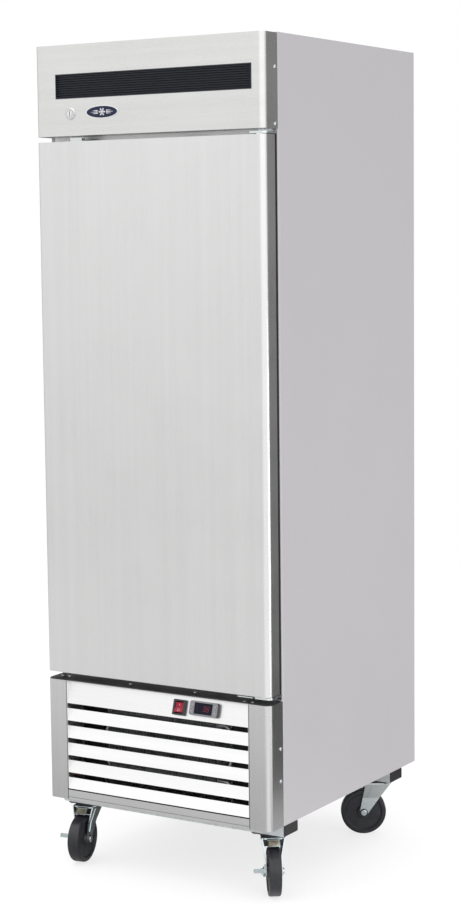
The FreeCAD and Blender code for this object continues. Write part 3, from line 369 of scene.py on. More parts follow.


# Copies of one stainless whose tones are set part by part to how bright each part looks: painted light and
# shade. The posts are darkest, as painted shade for the dim near floor that they mirror.
STEEL = (0.705, 0.705, 0.703)
LOOKS = {
    "door_steel": brushed_steel("door_steel", STEEL, 0.30, 2),
    "header_steel": brushed_steel("header_steel", (0.675, 0.675, 0.668), 0.28, 0),
    "slat_steel": brushed_steel("slat_steel", (0.74, 0.74, 0.74), 0.30, 0),
    "frame_steel": brushed_steel("frame_steel", (0.60, 0.60, 0.60), 0.34, 0),
    "post_steel": brushed_steel("post_steel", (0.600, 0.600, 0.600), 0.27, 2),
    "rail_steel": brushed_steel("rail_steel", (0.690, 0.690, 0.690), 0.30, 0),
    "side_paint": coated("side_paint", (0.432, 0.420, 0.434), 0.42, 0.10),
    "zinc_sheet": galvanised("zinc_sheet", (0.60, 0.62, 0.63)),
    "foam": foam("foam"),
    "liner": coated("liner", (0.78, 0.78, 0.77), 0.35, 0.06, scale=260.0),
    "shelf_coat": coated("shelf_coat", (0.74, 0.75, 0.75), 0.28, 0.08, Coat_Weight=0.3),
    "zinc_plate": plated("zinc_plate", (0.70, 0.76, 0.79), (0.73, 0.75, 0.71), 0.27),
    # fork_zinc is a darker copy of zinc_plate: painted shade for the forks under the cabinet.
    "fork_zinc": plated("fork_zinc", (0.60, 0.67, 0.70), (0.66, 0.69, 0.68), 0.27),
    "brake_zinc": plated("brake_zinc", (0.22, 0.27, 0.29), (0.30, 0.34, 0.34), 0.30),
    "yellow_zinc": plated("yellow_zinc", (0.66, 0.61, 0.46), (0.70, 0.68, 0.58), 0.34),
    # Near-black plated metal, also worn as painted shade by the castor plates, ball races, fork webs, the
    # rail's shadow line and the post gap shadows.
    "dark_plate_and_painted_shade": plated("dark_plate_and_painted_shade", (0.055, 0.058, 0.062), (0.085, 0.088, 0.090), 0.36),
    # Black plastic; the channel caps, screw slots and keyway also wear it as painted shade.
    "black_plastic": coated("black_plastic", (0.016, 0.016, 0.018), 0.42, 0.25, 0.1),
    # Dark plastic that is painted shade in the gap beside the door.
    "gap_shade": coated("gap_shade", (0.045, 0.045, 0.047), 0.45, 0.15, 0.06),
    "grille_plastic": coated("grille_plastic", (0.013, 0.015, 0.024), 0.36, 0.15, 0.1),
    # The bezel's dark sides are painted shade.
    "bezel_plastic": bezel_with_painted_side_shade("bezel_plastic", (0.19, 0.186, 0.198), (0.022, 0.022, 0.034)),
    "key_plastic": coated("key_plastic", (0.20, 0.195, 0.205), 0.38, 0.2),
    "window": coated("window", (0.002, 0.003, 0.011), 0.20, 0.02, Specular_IOR_Level=0.16),
    # The rocker's faint glow is painted light.
    "rocker_red": glowing_plastic("rocker_red", (0.23, 0.004, 0.020), (0.9, 0.03, 0.08), 0.03, 0.34,
                              Specular_IOR_Level=0.3),
    "rocker_mark": coated("rocker_mark", (0.52, 0.34, 0.37), 0.45, 0.1),
    "digit_red": glowing_plastic("digit_red", (0.20, 0.005, 0.010), (1.0, 0.05, 0.06), 0.07),
    "mark_white": coated("mark_white", (0.72, 0.72, 0.74), 0.45, 0.1),
    "mark_grey": coated("mark_grey", (0.42, 0.42, 0.44), 0.45, 0.1),
    "chrome": plated("chrome", (0.80, 0.80, 0.81), (0.76, 0.77, 0.79), 0.16),
    "lock_chrome": plated("lock_chrome", (0.60, 0.60, 0.61), (0.66, 0.66, 0.67), 0.20),
    "gasket": coated("gasket", (0.055, 0.055, 0.056), 0.55, 0.2, 0.08),
    "nylon": coated("nylon", (0.75, 0.74, 0.70), 0.40, 0.1),
    "lens": glowing_plastic("lens", (0.85, 0.86, 0.84), (1.0, 0.98, 0.92), 0.25, 0.25),
    "fins": finned("fins", (0.74, 0.75, 0.77)),
    "copper": copper("copper"),
    "machine_black": coated("machine_black", (0.018, 0.018, 0.019), 0.35, 0.3, 0.15, Coat_Weight=0.2),
    "wheel_rubber": tread_rubber("wheel_rubber"),
}


def dress_nodes():
    """Gives each CAD node its detailed material."""
    dress = {
        "door_steel": "door_outer_panel",
        "post_steel": "corner_posts",
        "rail_steel": "machine_base",
        "header_steel": "header_panel",
        "slat_steel": "louvre_panel",
        "frame_steel": "front_frame",
        "side_paint": "side_panel_left side_panel_right top_panel",
        "zinc_sheet": "back_panel base_channels condenser_shroud",
        "foam": "cabinet_insulation door_insulation",
        "liner": "interior_liner door_inner_panel evaporator_cover",
        "shelf_coat": "wire_shelf_bottom wire_shelf_middle wire_shelf_top",
        "zinc_plate": "shelf_pilasters shelf_clips upper_hinge lower_hinge lock_strike panel_screws",
        "fork_zinc": " ".join("castor_fork_" + name for name in CASTOR_NAMES),
        "brake_zinc": "castor_brake_front_left castor_brake_front_right",
        # The castor plates are near-black as painted shade under the base channels.
        "dark_plate_and_painted_shade": "castor_plates",
        "black_plastic": "lower_cap switch_housing cord_gland evaporator_fan condenser_fan door_pull",
        "grille_plastic": "header_grille",
        "bezel_plastic": "controller_housing",
        "key_plastic": "controller_key_left controller_key_right",
        "window": "controller_display",
        "rocker_red": "switch_rocker",
        "chrome": "lock_plug",
        "lock_chrome": "lock_housing",
        "gasket": "door_gasket",
        "nylon": "door_hinge_bushes",
        "lens": "interior_lamp",
        "fins": "evaporator_coil condenser_coil",
        "copper": "refrigerant_lines",
        "machine_black": "compressor fan_motors",
        "wheel_rubber": " ".join("castor_wheel_" + name for name in CASTOR_NAMES),
    }
    for look, names in dress.items():
        for name in names.split():
            materials = NODES[name].data.materials
            materials.clear()
            materials.append(LOOKS[look])
    low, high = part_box("header_badge")
    rim = 0.9 * MM
    wide, tall = high.x - low.x - 2 * rim, high.z - low.z - 2 * rim
    enamel = badge_enamel("badge_enamel", (low + high) / 2, wide, tall)
    NODES["header_badge"].data.materials.clear()
    NODES["header_badge"].data.materials.append(enamel)


# ---- mesh builders ------------------------------------------------------------------------
def join(target, part, place=Matrix()):
    """Adds one bmesh to another, moved by place, and frees it."""
    mesh = bpy.data.meshes.new("part")
    part.to_mesh(mesh)
    part.free()
    mesh.transform(place)
    target.from_mesh(mesh)
    bpy.data.meshes.remove(mesh)
    return target


def block(low, high, bevel=0.0, steps=2):
    """A bevelled box between two corners."""
    shape = bmesh.new()
    bmesh.ops.create_cube(shape, size=1.0)
    size = Vector(high) - Vector(low)
    middle = (Vector(high) + Vector(low)) / 2
    shape.transform(Matrix.Translation(middle) @ Matrix.Diagonal((*size, 1)))
    if bevel > 0:
        bmesh.ops.bevel(shape, geom=shape.edges[:], offset=bevel, segments=steps, affect="EDGES")
    return shape


def lathe(profile, steps=48):
    """Turns (radius, height) points about Z into a closed form."""
    shape = bmesh.new()
    rings = []
    for radius, height in profile:
        rings.append([shape.verts.new((radius * math.cos(a), radius * math.sin(a), height))
                      for a in (2 * math.pi * i / steps for i in range(steps))])
    for low, high in zip(rings, rings[1:]):
        for i in range(steps):
            j = (i + 1) % steps
            shape.faces.new((low[i], low[j], high[j], high[i]))
    shape.faces.new(rings[0][::-1])
    shape.faces.new(rings[-1])
    return shape


def ring(profile, steps=64):
    """Turns a closed loop of (radius, height) points about Z."""
    shape = bmesh.new()
    rings = [[shape.verts.new((r * math.cos(a), r * math.sin(a), h)) for r, h in profile]
             for a in (2 * math.pi * i / steps for i in range(steps))]
    count = len(profile)
    for i in range(steps):
        now, after = rings[i], rings[(i + 1) % steps]
        for k in range(count):
            m = (k + 1) % count
            shape.faces.new((now[k], after[k], after[m], now[m]))
    bmesh.ops.recalc_face_normals(shape, faces=shape.faces[:])
    return shape


def prism(outline, low, high, bevel=0.0, steps=2):
    """A flat outline of (x, y) points drawn out along Z."""
    shape = bmesh.new()
    bottom = [shape.verts.new((x, y, low)) for x, y in outline]
    top = [shape.verts.new((x, y, high)) for x, y in outline]
    count = len(outline)
    shape.faces.new(bottom[::-1])
    shape.faces.new(top)
    for i in range(count):
        j = (i + 1) % count
        shape.faces.new((bottom[i], bottom[j], top[j], top[i]))
    bmesh.ops.recalc_face_normals(shape, faces=shape.faces[:])
    if bevel > 0:
        caps = [e for e in shape.edges if abs(e.verts[0].co.z - e.verts[1].co.z) < 1e-9]
        bmesh.ops.bevel(shape, geom=caps, offset=bevel, segments=steps, affect="EDGES")
    return shape


def rounded_outline(half_x, half_y, radius, steps=6):
    """Corner points of a rounded rectangle, anticlockwise."""
    points = []
    for corner in range(4):
        cx = (half_x - radius) * (1 if corner in (0, 3) else -1)
        cy = (half_y - radius) * (1 if corner in (0, 1) else -1)
        for k in range(steps + 1):
            angle = math.pi / 2 * (corner + k / steps)
            points.append((cx + radius * math.cos(angle), cy + radius * math.sin(angle)))
    return points


def basis(centre, out, up=Vector((0, 0, 1))):
    """A place whose Z points out of a surface at centre and whose Y leans to up."""
    z = Vector(out).normalized()
    x = Vector(up).cross(z)
    x = x.normalized() if x.length > 1e-6 else z.orthogonal().normalized()
    y = z.cross(x)
    return Matrix.Translation(centre) @ Matrix((x, y, z)).transposed().to_4x4()


def piece(name, shape, look, body, smooth_angle=35.0):
    """Makes an object of a bmesh, smooths its round faces and lets it ride on a body."""
    mesh = bpy.data.meshes.new(name)
    bmesh.ops.recalc_face_normals(shape, faces=shape.faces[:])
    limit = math.radians(smooth_angle)
    for face in shape.faces:
        face.smooth = True
    for edge in shape.edges:
        edge.smooth = len(edge.link_faces) == 2 and edge.calc_face_angle(0.0) < limit
    shape.to_mesh(mesh)
    shape.free()
    mesh.materials.append(LOOKS[look])
    item = bpy.data.objects.new(name, mesh)
    bpy.context.scene.collection.objects.link(item)
    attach(item, body)
    return item


# ---- studio -------------------------------------------------------------------------------
FAR_RIGHT = (0.52, 0.85, 0.0)
FRONT_RIGHT = (0.62, -0.78, 0.0)
BACK_LEFT = (-0.72, 0.69, 0.0)


def make_world():
    """A white studio for the camera.

    Its light is brighter from the ceiling and the front right and darker from the far right. Glossy rays
    also see a dark back left, which draws the outline of the cabinet's left edge.
    """
    world = bpy.data.worlds.new("studio")
    world.use_nodes = True
    bpy.context.scene.world = world
    t = Tree(world.node_tree)
    way = t.add("ShaderNodeTexCoord", output=0)
    ceiling = t.remap(t.facing(way, (0, 0, 1)), 0.10, 0.40, 1.0, 1.45, True)
    far_right = t.remap(t.facing(way, FAR_RIGHT), 0.72, 0.92, 1.0, 0.24, True)
    front_right = t.remap(t.facing(way, FRONT_RIGHT), 0.60, 0.80, 1.0, 1.35, True)
    edge = t.remap(t.facing(way, BACK_LEFT), 0.80, 0.93, 0.0, 0.78, True)
    glossy = t.add("ShaderNodeLightPath", output=3)
    back_left = t.math("SUBTRACT", 1.0, t.product(edge, glossy))
    seen = t.add("ShaderNodeLightPath", output=0)
    unseen = t.math("SUBTRACT", 1.0, seen)
    light = t.math("ADD", t.product(ceiling, far_right, front_right, back_left, unseen), seen)
    background = world.node_tree.nodes["Background"]
    t.put(background.inputs["Strength"], light)
    background.inputs["Color"].default_value = (1, 1, 1, 1)


def area_light(name, place, target, size, power):
    """A round soft lamp that points at a target and that the camera doesn't see."""
    data = bpy.data.lights.new(name, "AREA")
    data.shape = "DISK"
    data.size = size
    data.energy = power
    lamp = bpy.data.objects.new(name, data)
    aim = (Vector(target) - Vector(place)).to_track_quat("-Z", "Y").to_matrix().to_4x4()
    lamp.matrix_world = Matrix.Translation(place) @ aim
    lamp.visible_camera = False
    bpy.context.scene.collection.objects.link(lamp)


def mirrored_floor(t, place):
    """Brightness of the floor in reflections: metres from the object's middle, and the direction."""
    away = t.add("ShaderNodeVectorMath", {0: place}, 1, operation="LENGTH")
    heading = t.add("ShaderNodeVectorMath", {0: place}, operation="NORMALIZE")
    front_right = t.facing(heading, FRONT_RIGHT)

    under_cabinet = t.remap(away, 0.24, 0.48, 0.15, 1.0, True)
    near_by = t.remap(away, 1.0, 2.9, 0.62, 1.0, True)
    further = t.remap(away, 3.0, 4.6, 0.98, 0.79, True)
    horizon = t.remap(away, 9.0, 22.0, 1.0, 1.22, True)
    broad = t.product(t.remap(front_right, 0.60, 0.80, 0.0, 0.25, True),
                      t.remap(away, 1.2, 2.2, 0.0, 1.0, True))
    narrow = t.product(t.remap(front_right, 0.90, 0.97, 0.0, 0.75, True),
                       t.remap(away, 1.4, 2.2, 1.0, 0.0, True))
    back_left = t.remap(t.facing(heading, BACK_LEFT), 0.80, 0.93, 1.0, 0.22, True)

    far_right = t.remap(t.facing(heading, FAR_RIGHT), 0.50, 0.80, 1.0, 0.0, True)
    least_far_off = t.remap(away, 1.0, 4.0, 0.07, 0.19, True)
    least_near_by = t.remap(away, 0.82, 1.08, 0.95, 0.0, True)
    gloom = t.math("MAXIMUM", far_right, t.math("MAXIMUM", least_far_off, least_near_by))
    return t.product(near_by, further, horizon, t.math("ADD", broad, 1.0), t.math("ADD", narrow, 1.0),
                     under_cabinet, back_left, gloom)


def make_floor():
    """A pale floor that turns into the white of the studio away from the object.

    Glossy rays see the floor of mirrored_floor instead.
    """
    near, far, reach = 1.6, 5.0, 60.0
    material, t, shader = start_material("floor", Roughness=0.6)
    place = t.add("ShaderNodeTexCoord", output=3)
    away = t.add("ShaderNodeVectorMath", {0: place}, 1, operation="LENGTH")
    grain = t.mix(t.noise(8.0, 3.0), (0.90, 0.90, 0.90), (0.94, 0.94, 0.94))
    t.put(shader.inputs["Base Color"], grain)
    white = t.add("ShaderNodeEmission", {"Color": (1, 1, 1, 1), "Strength": 1.0})
    share = t.remap(away, near, far, 0.72, 1.0, True)
    seen = t.add("ShaderNodeMixShader", {0: share, 1: shader.outputs[0], 2: white})
    level = mirrored_floor(t, place)
    studio = t.add("ShaderNodeEmission", {"Color": (1, 1, 1, 1), "Strength": level})
    glossy = t.add("ShaderNodeLightPath", output=3)
    mixed = t.add("ShaderNodeMixShader", {0: glossy, 1: seen, 2: studio})
    t.put(material.node_tree.nodes["Material Output"].inputs["Surface"], mixed)
    shape = bmesh.new()
    bmesh.ops.create_circle(shape, cap_ends=True, segments=96, radius=reach)
    mesh = bpy.data.meshes.new("floor")
    shape.to_mesh(mesh)
    shape.free()
    mesh.materials.append(material)
    floor = bpy.data.objects.new("floor", mesh)
    bpy.context.scene.collection.objects.link(floor)


# ---- pieces on the header and the controls ------------------------------------------------
def badge_emblem():
    """A snowflake between two groups of three tapered bars, raised in the badge's recess."""
    low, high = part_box("header_badge")
    face = Vector(((low.x + high.x) / 2, low.y + 0.6 * MM, (low.z + high.z) / 2))
    place = basis(face, (0, -1, 0))
    arm, thick, rise = 10.0 * MM, 0.7 * MM, 0.5 * MM
    shape = bmesh.new()
    for k in range(6):
        turn = Matrix.Rotation(math.radians(60 * k), 4, "Z")
        join(shape, block((0, -thick, 0), (arm, thick, rise), 0.1 * MM), place @ turn)
        for reach in (0.45 * arm, 0.72 * arm):
            for side in SIDES:
                twig = Matrix.Translation((reach, 0, 0)) @ Matrix.Rotation(math.radians(60 * side), 4, "Z")
                bar = block((0, -0.55 * thick, 0), (0.30 * arm, 0.55 * thick, rise), 0.1 * MM)
                join(shape, bar, place @ turn @ twig)
    for side in SIDES:
        for row, length in ((0, 21.0), (-1, 15.0), (1, 15.0)):
            near, y = 13 * MM, row * 3.6 * MM
            outline = [(side * near, y - 0.9 * MM), (side * (near + length * MM), y - 0.2 * MM),
                       (side * (near + length * MM), y + 0.2 * MM), (side * near, y + 0.9 * MM)]
            join(shape, prism(outline, 0, rise), place)
    piece("badge_emblem", shape, "mark_white", "cabinet")


SEGMENTS = {"3": "abcdg", "8": "abcdefg"}


def digit(mark, half_w, half_h):
    """One seven-segment digit, centred on the origin in its own plane."""
    shape = bmesh.new()
    bar, rise = 1.0 * MM, 0.15 * MM
    level = {"a": half_h, "g": 0.0, "d": -half_h}
    upright = {"f": (-1, 1), "b": (1, 1), "e": (-1, -1), "c": (1, -1)}
    for name in SEGMENTS[mark]:
        if name in level:
            y = level[name]
            join(shape, block((-half_w + bar, y - bar / 2, 0), (half_w - bar, y + bar / 2, rise)))
        else:
            side, up = upright[name]
            x, y = side * half_w, up * half_h / 2
            join(shape, block((x - bar / 2, y - half_h / 2 + 0.6 * bar, 0),
                              (x + bar / 2, y + half_h / 2 - 0.6 * bar, rise)))
    slant = Matrix.Identity(4)
    slant[0][1] = 0.12
    shape.transform(slant)
    return shape


def display_digits():
    """Two lit digits and a column of three status dots on the display's window."""
    low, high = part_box("controller_display")
    face = (low + high) / 2 + STRIP_OUT * 0.8 * MM
    place = basis(face, STRIP_OUT, STRIP_UP)
    shape = bmesh.new()
    for x, mark in ((2.0, "3"), (13.0, "8")):
        join(shape, digit(mark, 3.2 * MM, 6.4 * MM), place @ Matrix.Translation((x * MM, 0, 0)))
    for y in (-6.0, 0.0, 6.0):
        dot = lathe([(0.7 * MM, 0), (0.7 * MM, 0.15 * MM)], 16)
        join(shape, dot, place @ Matrix.Translation((-18 * MM, y * MM, 0)))
    piece("display_digits", shape, "digit_red", "cabinet")


def key_arrows():
    """Printed up and down arrows above and below each key."""
    shape = bmesh.new()
    for side in ("left", "right"):
        low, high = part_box("controller_key_" + side)
        centre = (low + high) / 2 + STRIP_OUT * 1.05 * MM
        for up in SIDES:
            spot = centre + STRIP_UP * (8.6 * up * MM)
            size = 1.7 * MM
            outline = [(-size, -0.8 * size * up), (size, -0.8 * size * up), (0, size * up)]
            join(shape, prism(outline, 0, 0.12 * MM), basis(spot, STRIP_OUT, STRIP_UP))
    piece("controller_arrows", shape, "mark_grey", "cabinet")


def rocker_marks():
    """A bar and a ring moulded into the rocker's two faces."""
    pivot = joint_point("switch_rock")
    shape = bmesh.new()
    proud, sunk, rise = 8.0 * MM, -0.2 * MM, 0.12 * MM
    upper = pivot + STRIP_UP * 7 * MM + STRIP_OUT * (proud - 2.1 * MM)
    bar = block((-0.7 * MM, -3.2 * MM, sunk), (0.7 * MM, 3.2 * MM, rise))
    join(shape, bar, basis(upper, STRIP_OUT, STRIP_UP))
    slope = (STRIP_OUT * 13 + STRIP_UP * 5.4).normalized()
    lower = pivot - STRIP_UP * 6.8 * MM + STRIP_OUT * (proud + 0.35 * MM)
    inner, outer = 2.3 * MM, 3.3 * MM
    loop = ring([(inner, sunk), (outer, sunk), (outer, rise), (inner, rise)], 32)
    join(shape, loop, basis(lower, slope, STRIP_UP))
    piece("rocker_marks", shape, "rocker_mark", "switch_rocker")


# ---- door and hinges ----------------------------------------------------------------------
def frame_sweep(half, low, high, profile):
    """A mitred rectangular frame in X and Z; the profile is (inset, y) points in a loop."""
    shape = bmesh.new()
    loops = []
    for inset, y in profile:
        x, z0, z1 = half - inset, low + inset, high - inset
        loops.append([shape.verts.new(p) for p in ((-x, y, z0), (x, y, z0), (x, y, z1), (-x, y, z1))])
    for here, after in zip(loops, loops[1:] + loops[:1]):
        for k in range(4):
            m = (k + 1) % 4
            shape.faces.new((here[k], here[m], after[m], after[k]))
    return shape


def door_gasket():
    """Push-in foot, two bellows folds and the magnet's flat head."""
    low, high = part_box("door_gasket")
    outline = [(1, 0), (0, 1), (0, 3.2), (1, 4), (5.4, 4), (6.4, 4.8), (4.4, 5.6), (3.8, 6.4), (4.6, 7.2),
               (3, 8), (2, 8.8), (2, 12), (2.6, 12.8), (4, 13), (16, 13), (17.4, 12.8), (18, 12), (18, 8.8),
               (17, 8), (14.6, 7.2), (13.6, 6.4), (14.4, 5.6), (12.6, 4.8), (13.6, 4), (19, 4), (20, 3.2),
               (20, 1), (19, 0)]
    profile = [(inset * MM, low.y + y * MM) for inset, y in outline]
    shape = frame_sweep(high.x, low.z, high.z, profile)
    item = piece("gasket_bellows", shape, "gasket", "door", 50)
    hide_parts("door_gasket")


def screws(name, spots, radius, rise, look, body):
    """Domed screw heads that face up, and dark crosses in them, painted shade of the cross recesses."""
    dome = [(radius, 0), (radius, 0.35 * rise), (0.8 * radius, 0.8 * rise), (0.45 * radius, rise)]
    arm, half = 0.55 * radius, 0.1 * radius
    heads, slots = bmesh.new(), bmesh.new()
    for spot in spots:
        place = Matrix.Translation(spot)
        join(heads, lathe(dome, 24), place)
        for turn in (0, 90):
            bar = block((-arm, -half, rise - 0.3 * MM), (arm, half, rise + 0.05 * MM))
            join(slots, bar, place @ Matrix.Rotation(math.radians(turn), 4, "Z"))
    piece(name + "s", heads, look, body)
    piece(name + "_slots", slots, "black_plastic", body)


def strike_screws():
    """Two screws that hold the lock strike on the door's top edge."""
    low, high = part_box("lock_strike")
    top, inset = DOOR_HIGH.z + 1.5 * MM, 7 * MM
    spots = [Vector((x, (low.y + high.y) / 2, top)) for x in (low.x + inset, high.x - inset)]
    screws("strike_screw", spots, 3.4 * MM, 1.6 * MM, "dark_plate_and_painted_shade", "door")


# ---- base and castors ---------------------------------------------------------------------
def channel_shade_plugs():
    """Black caps pushed into the ends of the two channels under the cabinet; their black is painted shade
    for the shade inside the channel ends.
    """
    low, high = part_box("base_channels")
    depth, tall, wall = 70 * MM, high.z - low.z, 3 * MM
    middles = {"front": low.y + depth / 2, "rear": high.y - depth / 2}
    for row, y in middles.items():
        for side, x in (("left", low.x), ("right", high.x)):
            out = Vector((-1 if side == "left" else 1, 0, 0))
            cap = prism(rounded_outline(depth / 2, tall / 2, 3 * MM), 0, 1.3 * MM, 0.5 * MM)
            plug = prism(rounded_outline(depth / 2 - wall, tall / 2 - wall, 2 * MM), -12 * MM, 0.1 * MM)
            shape = join(join(bmesh.new(), cap), plug)
            shape.transform(basis(Vector((x, y, (low.z + high.z) / 2)), out))
            piece(f"channel_shade_plug_{row}_{side}", shape, "black_plastic", "cabinet")


PAD_SLOPE = math.radians(28)
SHOE_SLOPE = math.radians(48)
ABOUT_AXLE = Matrix.Rotation(math.radians(-90), 4, "X")


def castor_places(name):
    """The kingpin's place on the floor and the wheel's middle.

    In both, X runs along the trail, Y along the axle and Z up.
    """
    pin = joint_point("castor_swivel_" + name)
    axle = joint_point("castor_roll_" + name)
    trail = Vector((axle.x - pin.x, axle.y - pin.y, 0))
    ahead = trail.normalized()
    across = Vector((-ahead.y, ahead.x, 0))
    turn = Matrix((ahead, across, Vector((0, 0, 1)))).transposed().to_4x4()
    kingpin = Matrix.Translation((pin.x, pin.y, 0)) @ turn
    return kingpin, kingpin @ Matrix.Translation((trail.length, 0, axle.z))


def castor_race(name, kingpin, crown, under):
    """Ball race between the fork's crown and the top plate, near-black as painted shade under the base
    channel.
    """
    inner, outer = 24 * MM, 34 * MM
    race = ring([(inner, crown + 0.4 * MM), (31 * MM, crown + 0.4 * MM), (outer, crown + 1.6 * MM),
                 (outer, under - 0.8 * MM), (32 * MM, under), (inner, under)])
    race.transform(Matrix.Translation(kingpin.translation))
    piece("castor_race_" + name, race, "dark_plate_and_painted_shade", "cabinet")


def castor_bolts(name, kingpin, under):
    """Four hexagon heads under the top plate."""
    radius, tall = 5.4 * MM, 3.2 * MM
    angles = [math.radians(60 * k) for k in range(6)]
    hexagon = [(radius * math.cos(angle), radius * math.sin(angle)) for angle in angles]
    bolts = bmesh.new()
    for sx in SIDES:
        for sy in SIDES:
            spot = kingpin.translation + Vector((sx * 37 * MM, sy * 25 * MM, under))
            join(bolts, prism(hexagon, -tall, 0, 0.4 * MM), Matrix.Translation(spot))
    piece("castor_bolts_" + name, bolts, "zinc_plate", "cabinet")


def wheel_beads(name, hub):
    """A raised bead round each side of the wheel and the moulding line round its tread."""
    half, bead = 16 * MM, 0.45 * MM
    beads = bmesh.new()
    for side in SIDES:
        inside, outside = side * (half - bead), side * (half + bead)
        loop = ring([(51.5 * MM, inside), (52.2 * MM, outside), (54.8 * MM, outside), (55.5 * MM, inside)])
        join(beads, loop, ABOUT_AXLE)
    tread, proud = 62.0 * MM, 62.45 * MM
    seam = ring([(tread, -0.5 * MM), (proud, -0.2 * MM), (proud, 0.2 * MM), (tread, 0.5 * MM)], 96)
    join(beads, seam, ABOUT_AXLE)
    beads.transform(hub)
    piece("castor_beads_" + name, beads, "wheel_rubber", "castor_wheel_" + name)


def axle_washers(name, hub, sides):
    """Washers on the axle bolt, outside the fork."""
    bore, rim, fork, thick = 8.0 * MM, 11.0 * MM, 22 * MM, 0.7 * MM
    washers = bmesh.new()
    for side in sides:
        inside, outside = side * fork, side * (fork + thick)
        loop = ring([(bore, inside), (rim, inside), (rim - 0.4 * MM, outside), (bore, outside)])
        join(washers, loop, ABOUT_AXLE)
    washers.transform(hub)
    piece("castor_washers_" + name, washers, "dark_plate_and_painted_shade", "castor_fork_" + name)


def fork_shade_web(name, kingpin, crown):
    """Dark plate across the fork, in front of the kingpin: painted shade for the shaded inside of the fork
    seen between the wheel and the crown.
    """
    low, high, ahead, thick = 121.4 * MM, crown - 3.6 * MM, 18 * MM, 2 * MM
    outline = [(-24 * MM, low), (24 * MM, low), (27.2 * MM, high), (-27.2 * MM, high)]
    web = prism([(-z, y) for y, z in outline], ahead - thick / 2, ahead + thick / 2)
    web.transform(kingpin @ Matrix.Rotation(math.radians(90), 4, "Y"))
    piece("castor_shade_web_" + name, web, "dark_plate_and_painted_shade", "castor_fork_" + name)


def brake_shoe(name, kingpin, crown):
    """Slanting shoe plate on a braked castor's fork, with a raised rim round it."""
    top_edge = Matrix.Translation((36.4 * MM, 0, crown - 0.6 * MM))
    lean = kingpin @ top_edge @ Matrix.Rotation(SHOE_SLOPE, 4, "Y")
    shoe = prism(rounded_outline(8.5 * MM, 13.5 * MM, 3 * MM), 0, 1.2 * MM, 0.4 * MM)
    shoe.transform(lean @ Matrix.Translation((14.5 * MM, 0, 0)))
    piece("castor_shoe_" + name, shoe, "yellow_zinc", "castor_fork_" + name)

    half, low, high = 16 * MM, -0.6 * MM, 2.2 * MM
    rim = block((22.6 * MM, -half, low), (24.6 * MM, half, high), 0.6 * MM)
    for side in SIDES:
        y0, y1 = sorted((side * 14.2 * MM, side * half))
        join(rim, block((5 * MM, y0, low), (24 * MM, y1, high), 0.5 * MM))
    join(rim, block((4.2 * MM, -half, low), (6.2 * MM, half, high), 0.5 * MM))
    rim.transform(lean)
    piece("castor_shoe_rim_" + name, rim, "fork_zinc", "castor_fork_" + name)


def pad_ridges(name, hub):
    """Six grip ridges across the foot brake's pad."""
    outermost, pitch, half = 49 * MM, 4.6 * MM, 0.8 * MM
    ridges = bmesh.new()
    for k in range(6):
        y = k * pitch - outermost
        join(ridges, block((14 * MM, y - half, 1.8 * MM), (28 * MM, y + half, 2.9 * MM), 0.4 * MM))
    ridges.transform(hub @ Matrix.Rotation(-PAD_SLOPE, 4, "Y"))
    piece("castor_pad_ridges_" + name, ridges, "brake_zinc", "castor_brake_" + name)


def castor_details(name):
    """The fine pieces of one castor; only the front two have a brake."""
    kingpin, hub = castor_places(name)
    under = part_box("castor_plates")[1].z - 4 * MM
    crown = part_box("castor_fork_" + name)[1].z
    braked = "castor_brake_" + name in NODES
    castor_race(name, kingpin, crown, under)
    castor_bolts(name, kingpin, under)
    wheel_beads(name, hub)
    axle_washers(name, hub, (1,) if braked else SIDES)
    fork_shade_web(name, kingpin, crown)
    if braked:
        brake_shoe(name, kingpin, crown)
        pad_ridges(name, hub)


# ---- inside the cabinet and the machine compartment ---------------------------------------
def cove(start, end, side_a, side_b, radius):
    """A concave quarter-round strip in the corner between two walls."""
    shape = bmesh.new()
    outline = [Vector((0, 0, 0)), side_a * radius]
    centre = (side_a + side_b) * radius
    for k in range(1, 8):
        angle = math.pi / 2 * k / 8
        outline.append(centre - side_b * radius * math.cos(angle) - side_a * radius * math.sin(angle))
    outline.append(side_b * radius)
    first = [shape.verts.new(start + p) for p in outline]
    last = [shape.verts.new(end + p) for p in outline]
    count = len(outline)
    for k in range(count):
        m = (k + 1) % count
        shape.faces.new((first[k], first[m], last[m], last[k]))
    shape.faces.new(first)
    shape.faces.new(last[::-1])
    return shape


def liner_coves():
    """Rounded corners of the liner: along the floor and up the back."""
    low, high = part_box("interior_liner")
    wall = 1 * MM
    left, right, back = low.x + wall, high.x - wall, high.y - wall
    floor, ceiling = low.z + wall, high.z - wall
    x, y, z = Vector((1, 0, 0)), Vector((0, 1, 0)), Vector((0, 0, 1))
    radius = 12 * MM
    shape = bmesh.new()
    for side, wall_x in ((1, left), (-1, right)):
        start = Vector((wall_x, low.y + 2 * MM, floor))
        join(shape, cove(start, Vector((wall_x, back, floor)), x * side, z, radius))
        foot = Vector((wall_x, back, floor))
        join(shape, cove(foot, Vector((wall_x, back, ceiling)), x * side, -y, radius))
    join(shape, cove(Vector((left, back, floor)), Vector((right, back, floor)), z, -y, radius))
    piece("liner_coves", shape, "liner", "cabinet", 40)


def lamp_details():
    """End caps and prismatic ribs on the lamp's lens."""
    low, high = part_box("interior_lamp")
    caps, half = bmesh.new(), 4 * MM
    for x in (low.x, high.x):
        cap_low = (x - half, low.y - 1 * MM, low.z - 1 * MM)
        cap_high = (x + half, high.y + 1 * MM, high.z)
        join(caps, block(cap_low, cap_high, 1.5 * MM, 3))
    piece("lamp_caps", caps, "shelf_coat", "cabinet")
    ribs, half, count = bmesh.new(), 1.2 * MM, 40
    for k in range(count):
        x = low.x + (high.x - low.x) * (k + 0.5) / count
        rib_low = (x - half, low.y + 5 * MM, low.z - 0.7 * MM)
        rib_high = (x + half, high.y - 5 * MM, low.z + 1 * MM)
        join(ribs, block(rib_low, rib_high, 0.5 * MM))
    piece("lamp_ribs", ribs, "lens", "cabinet")


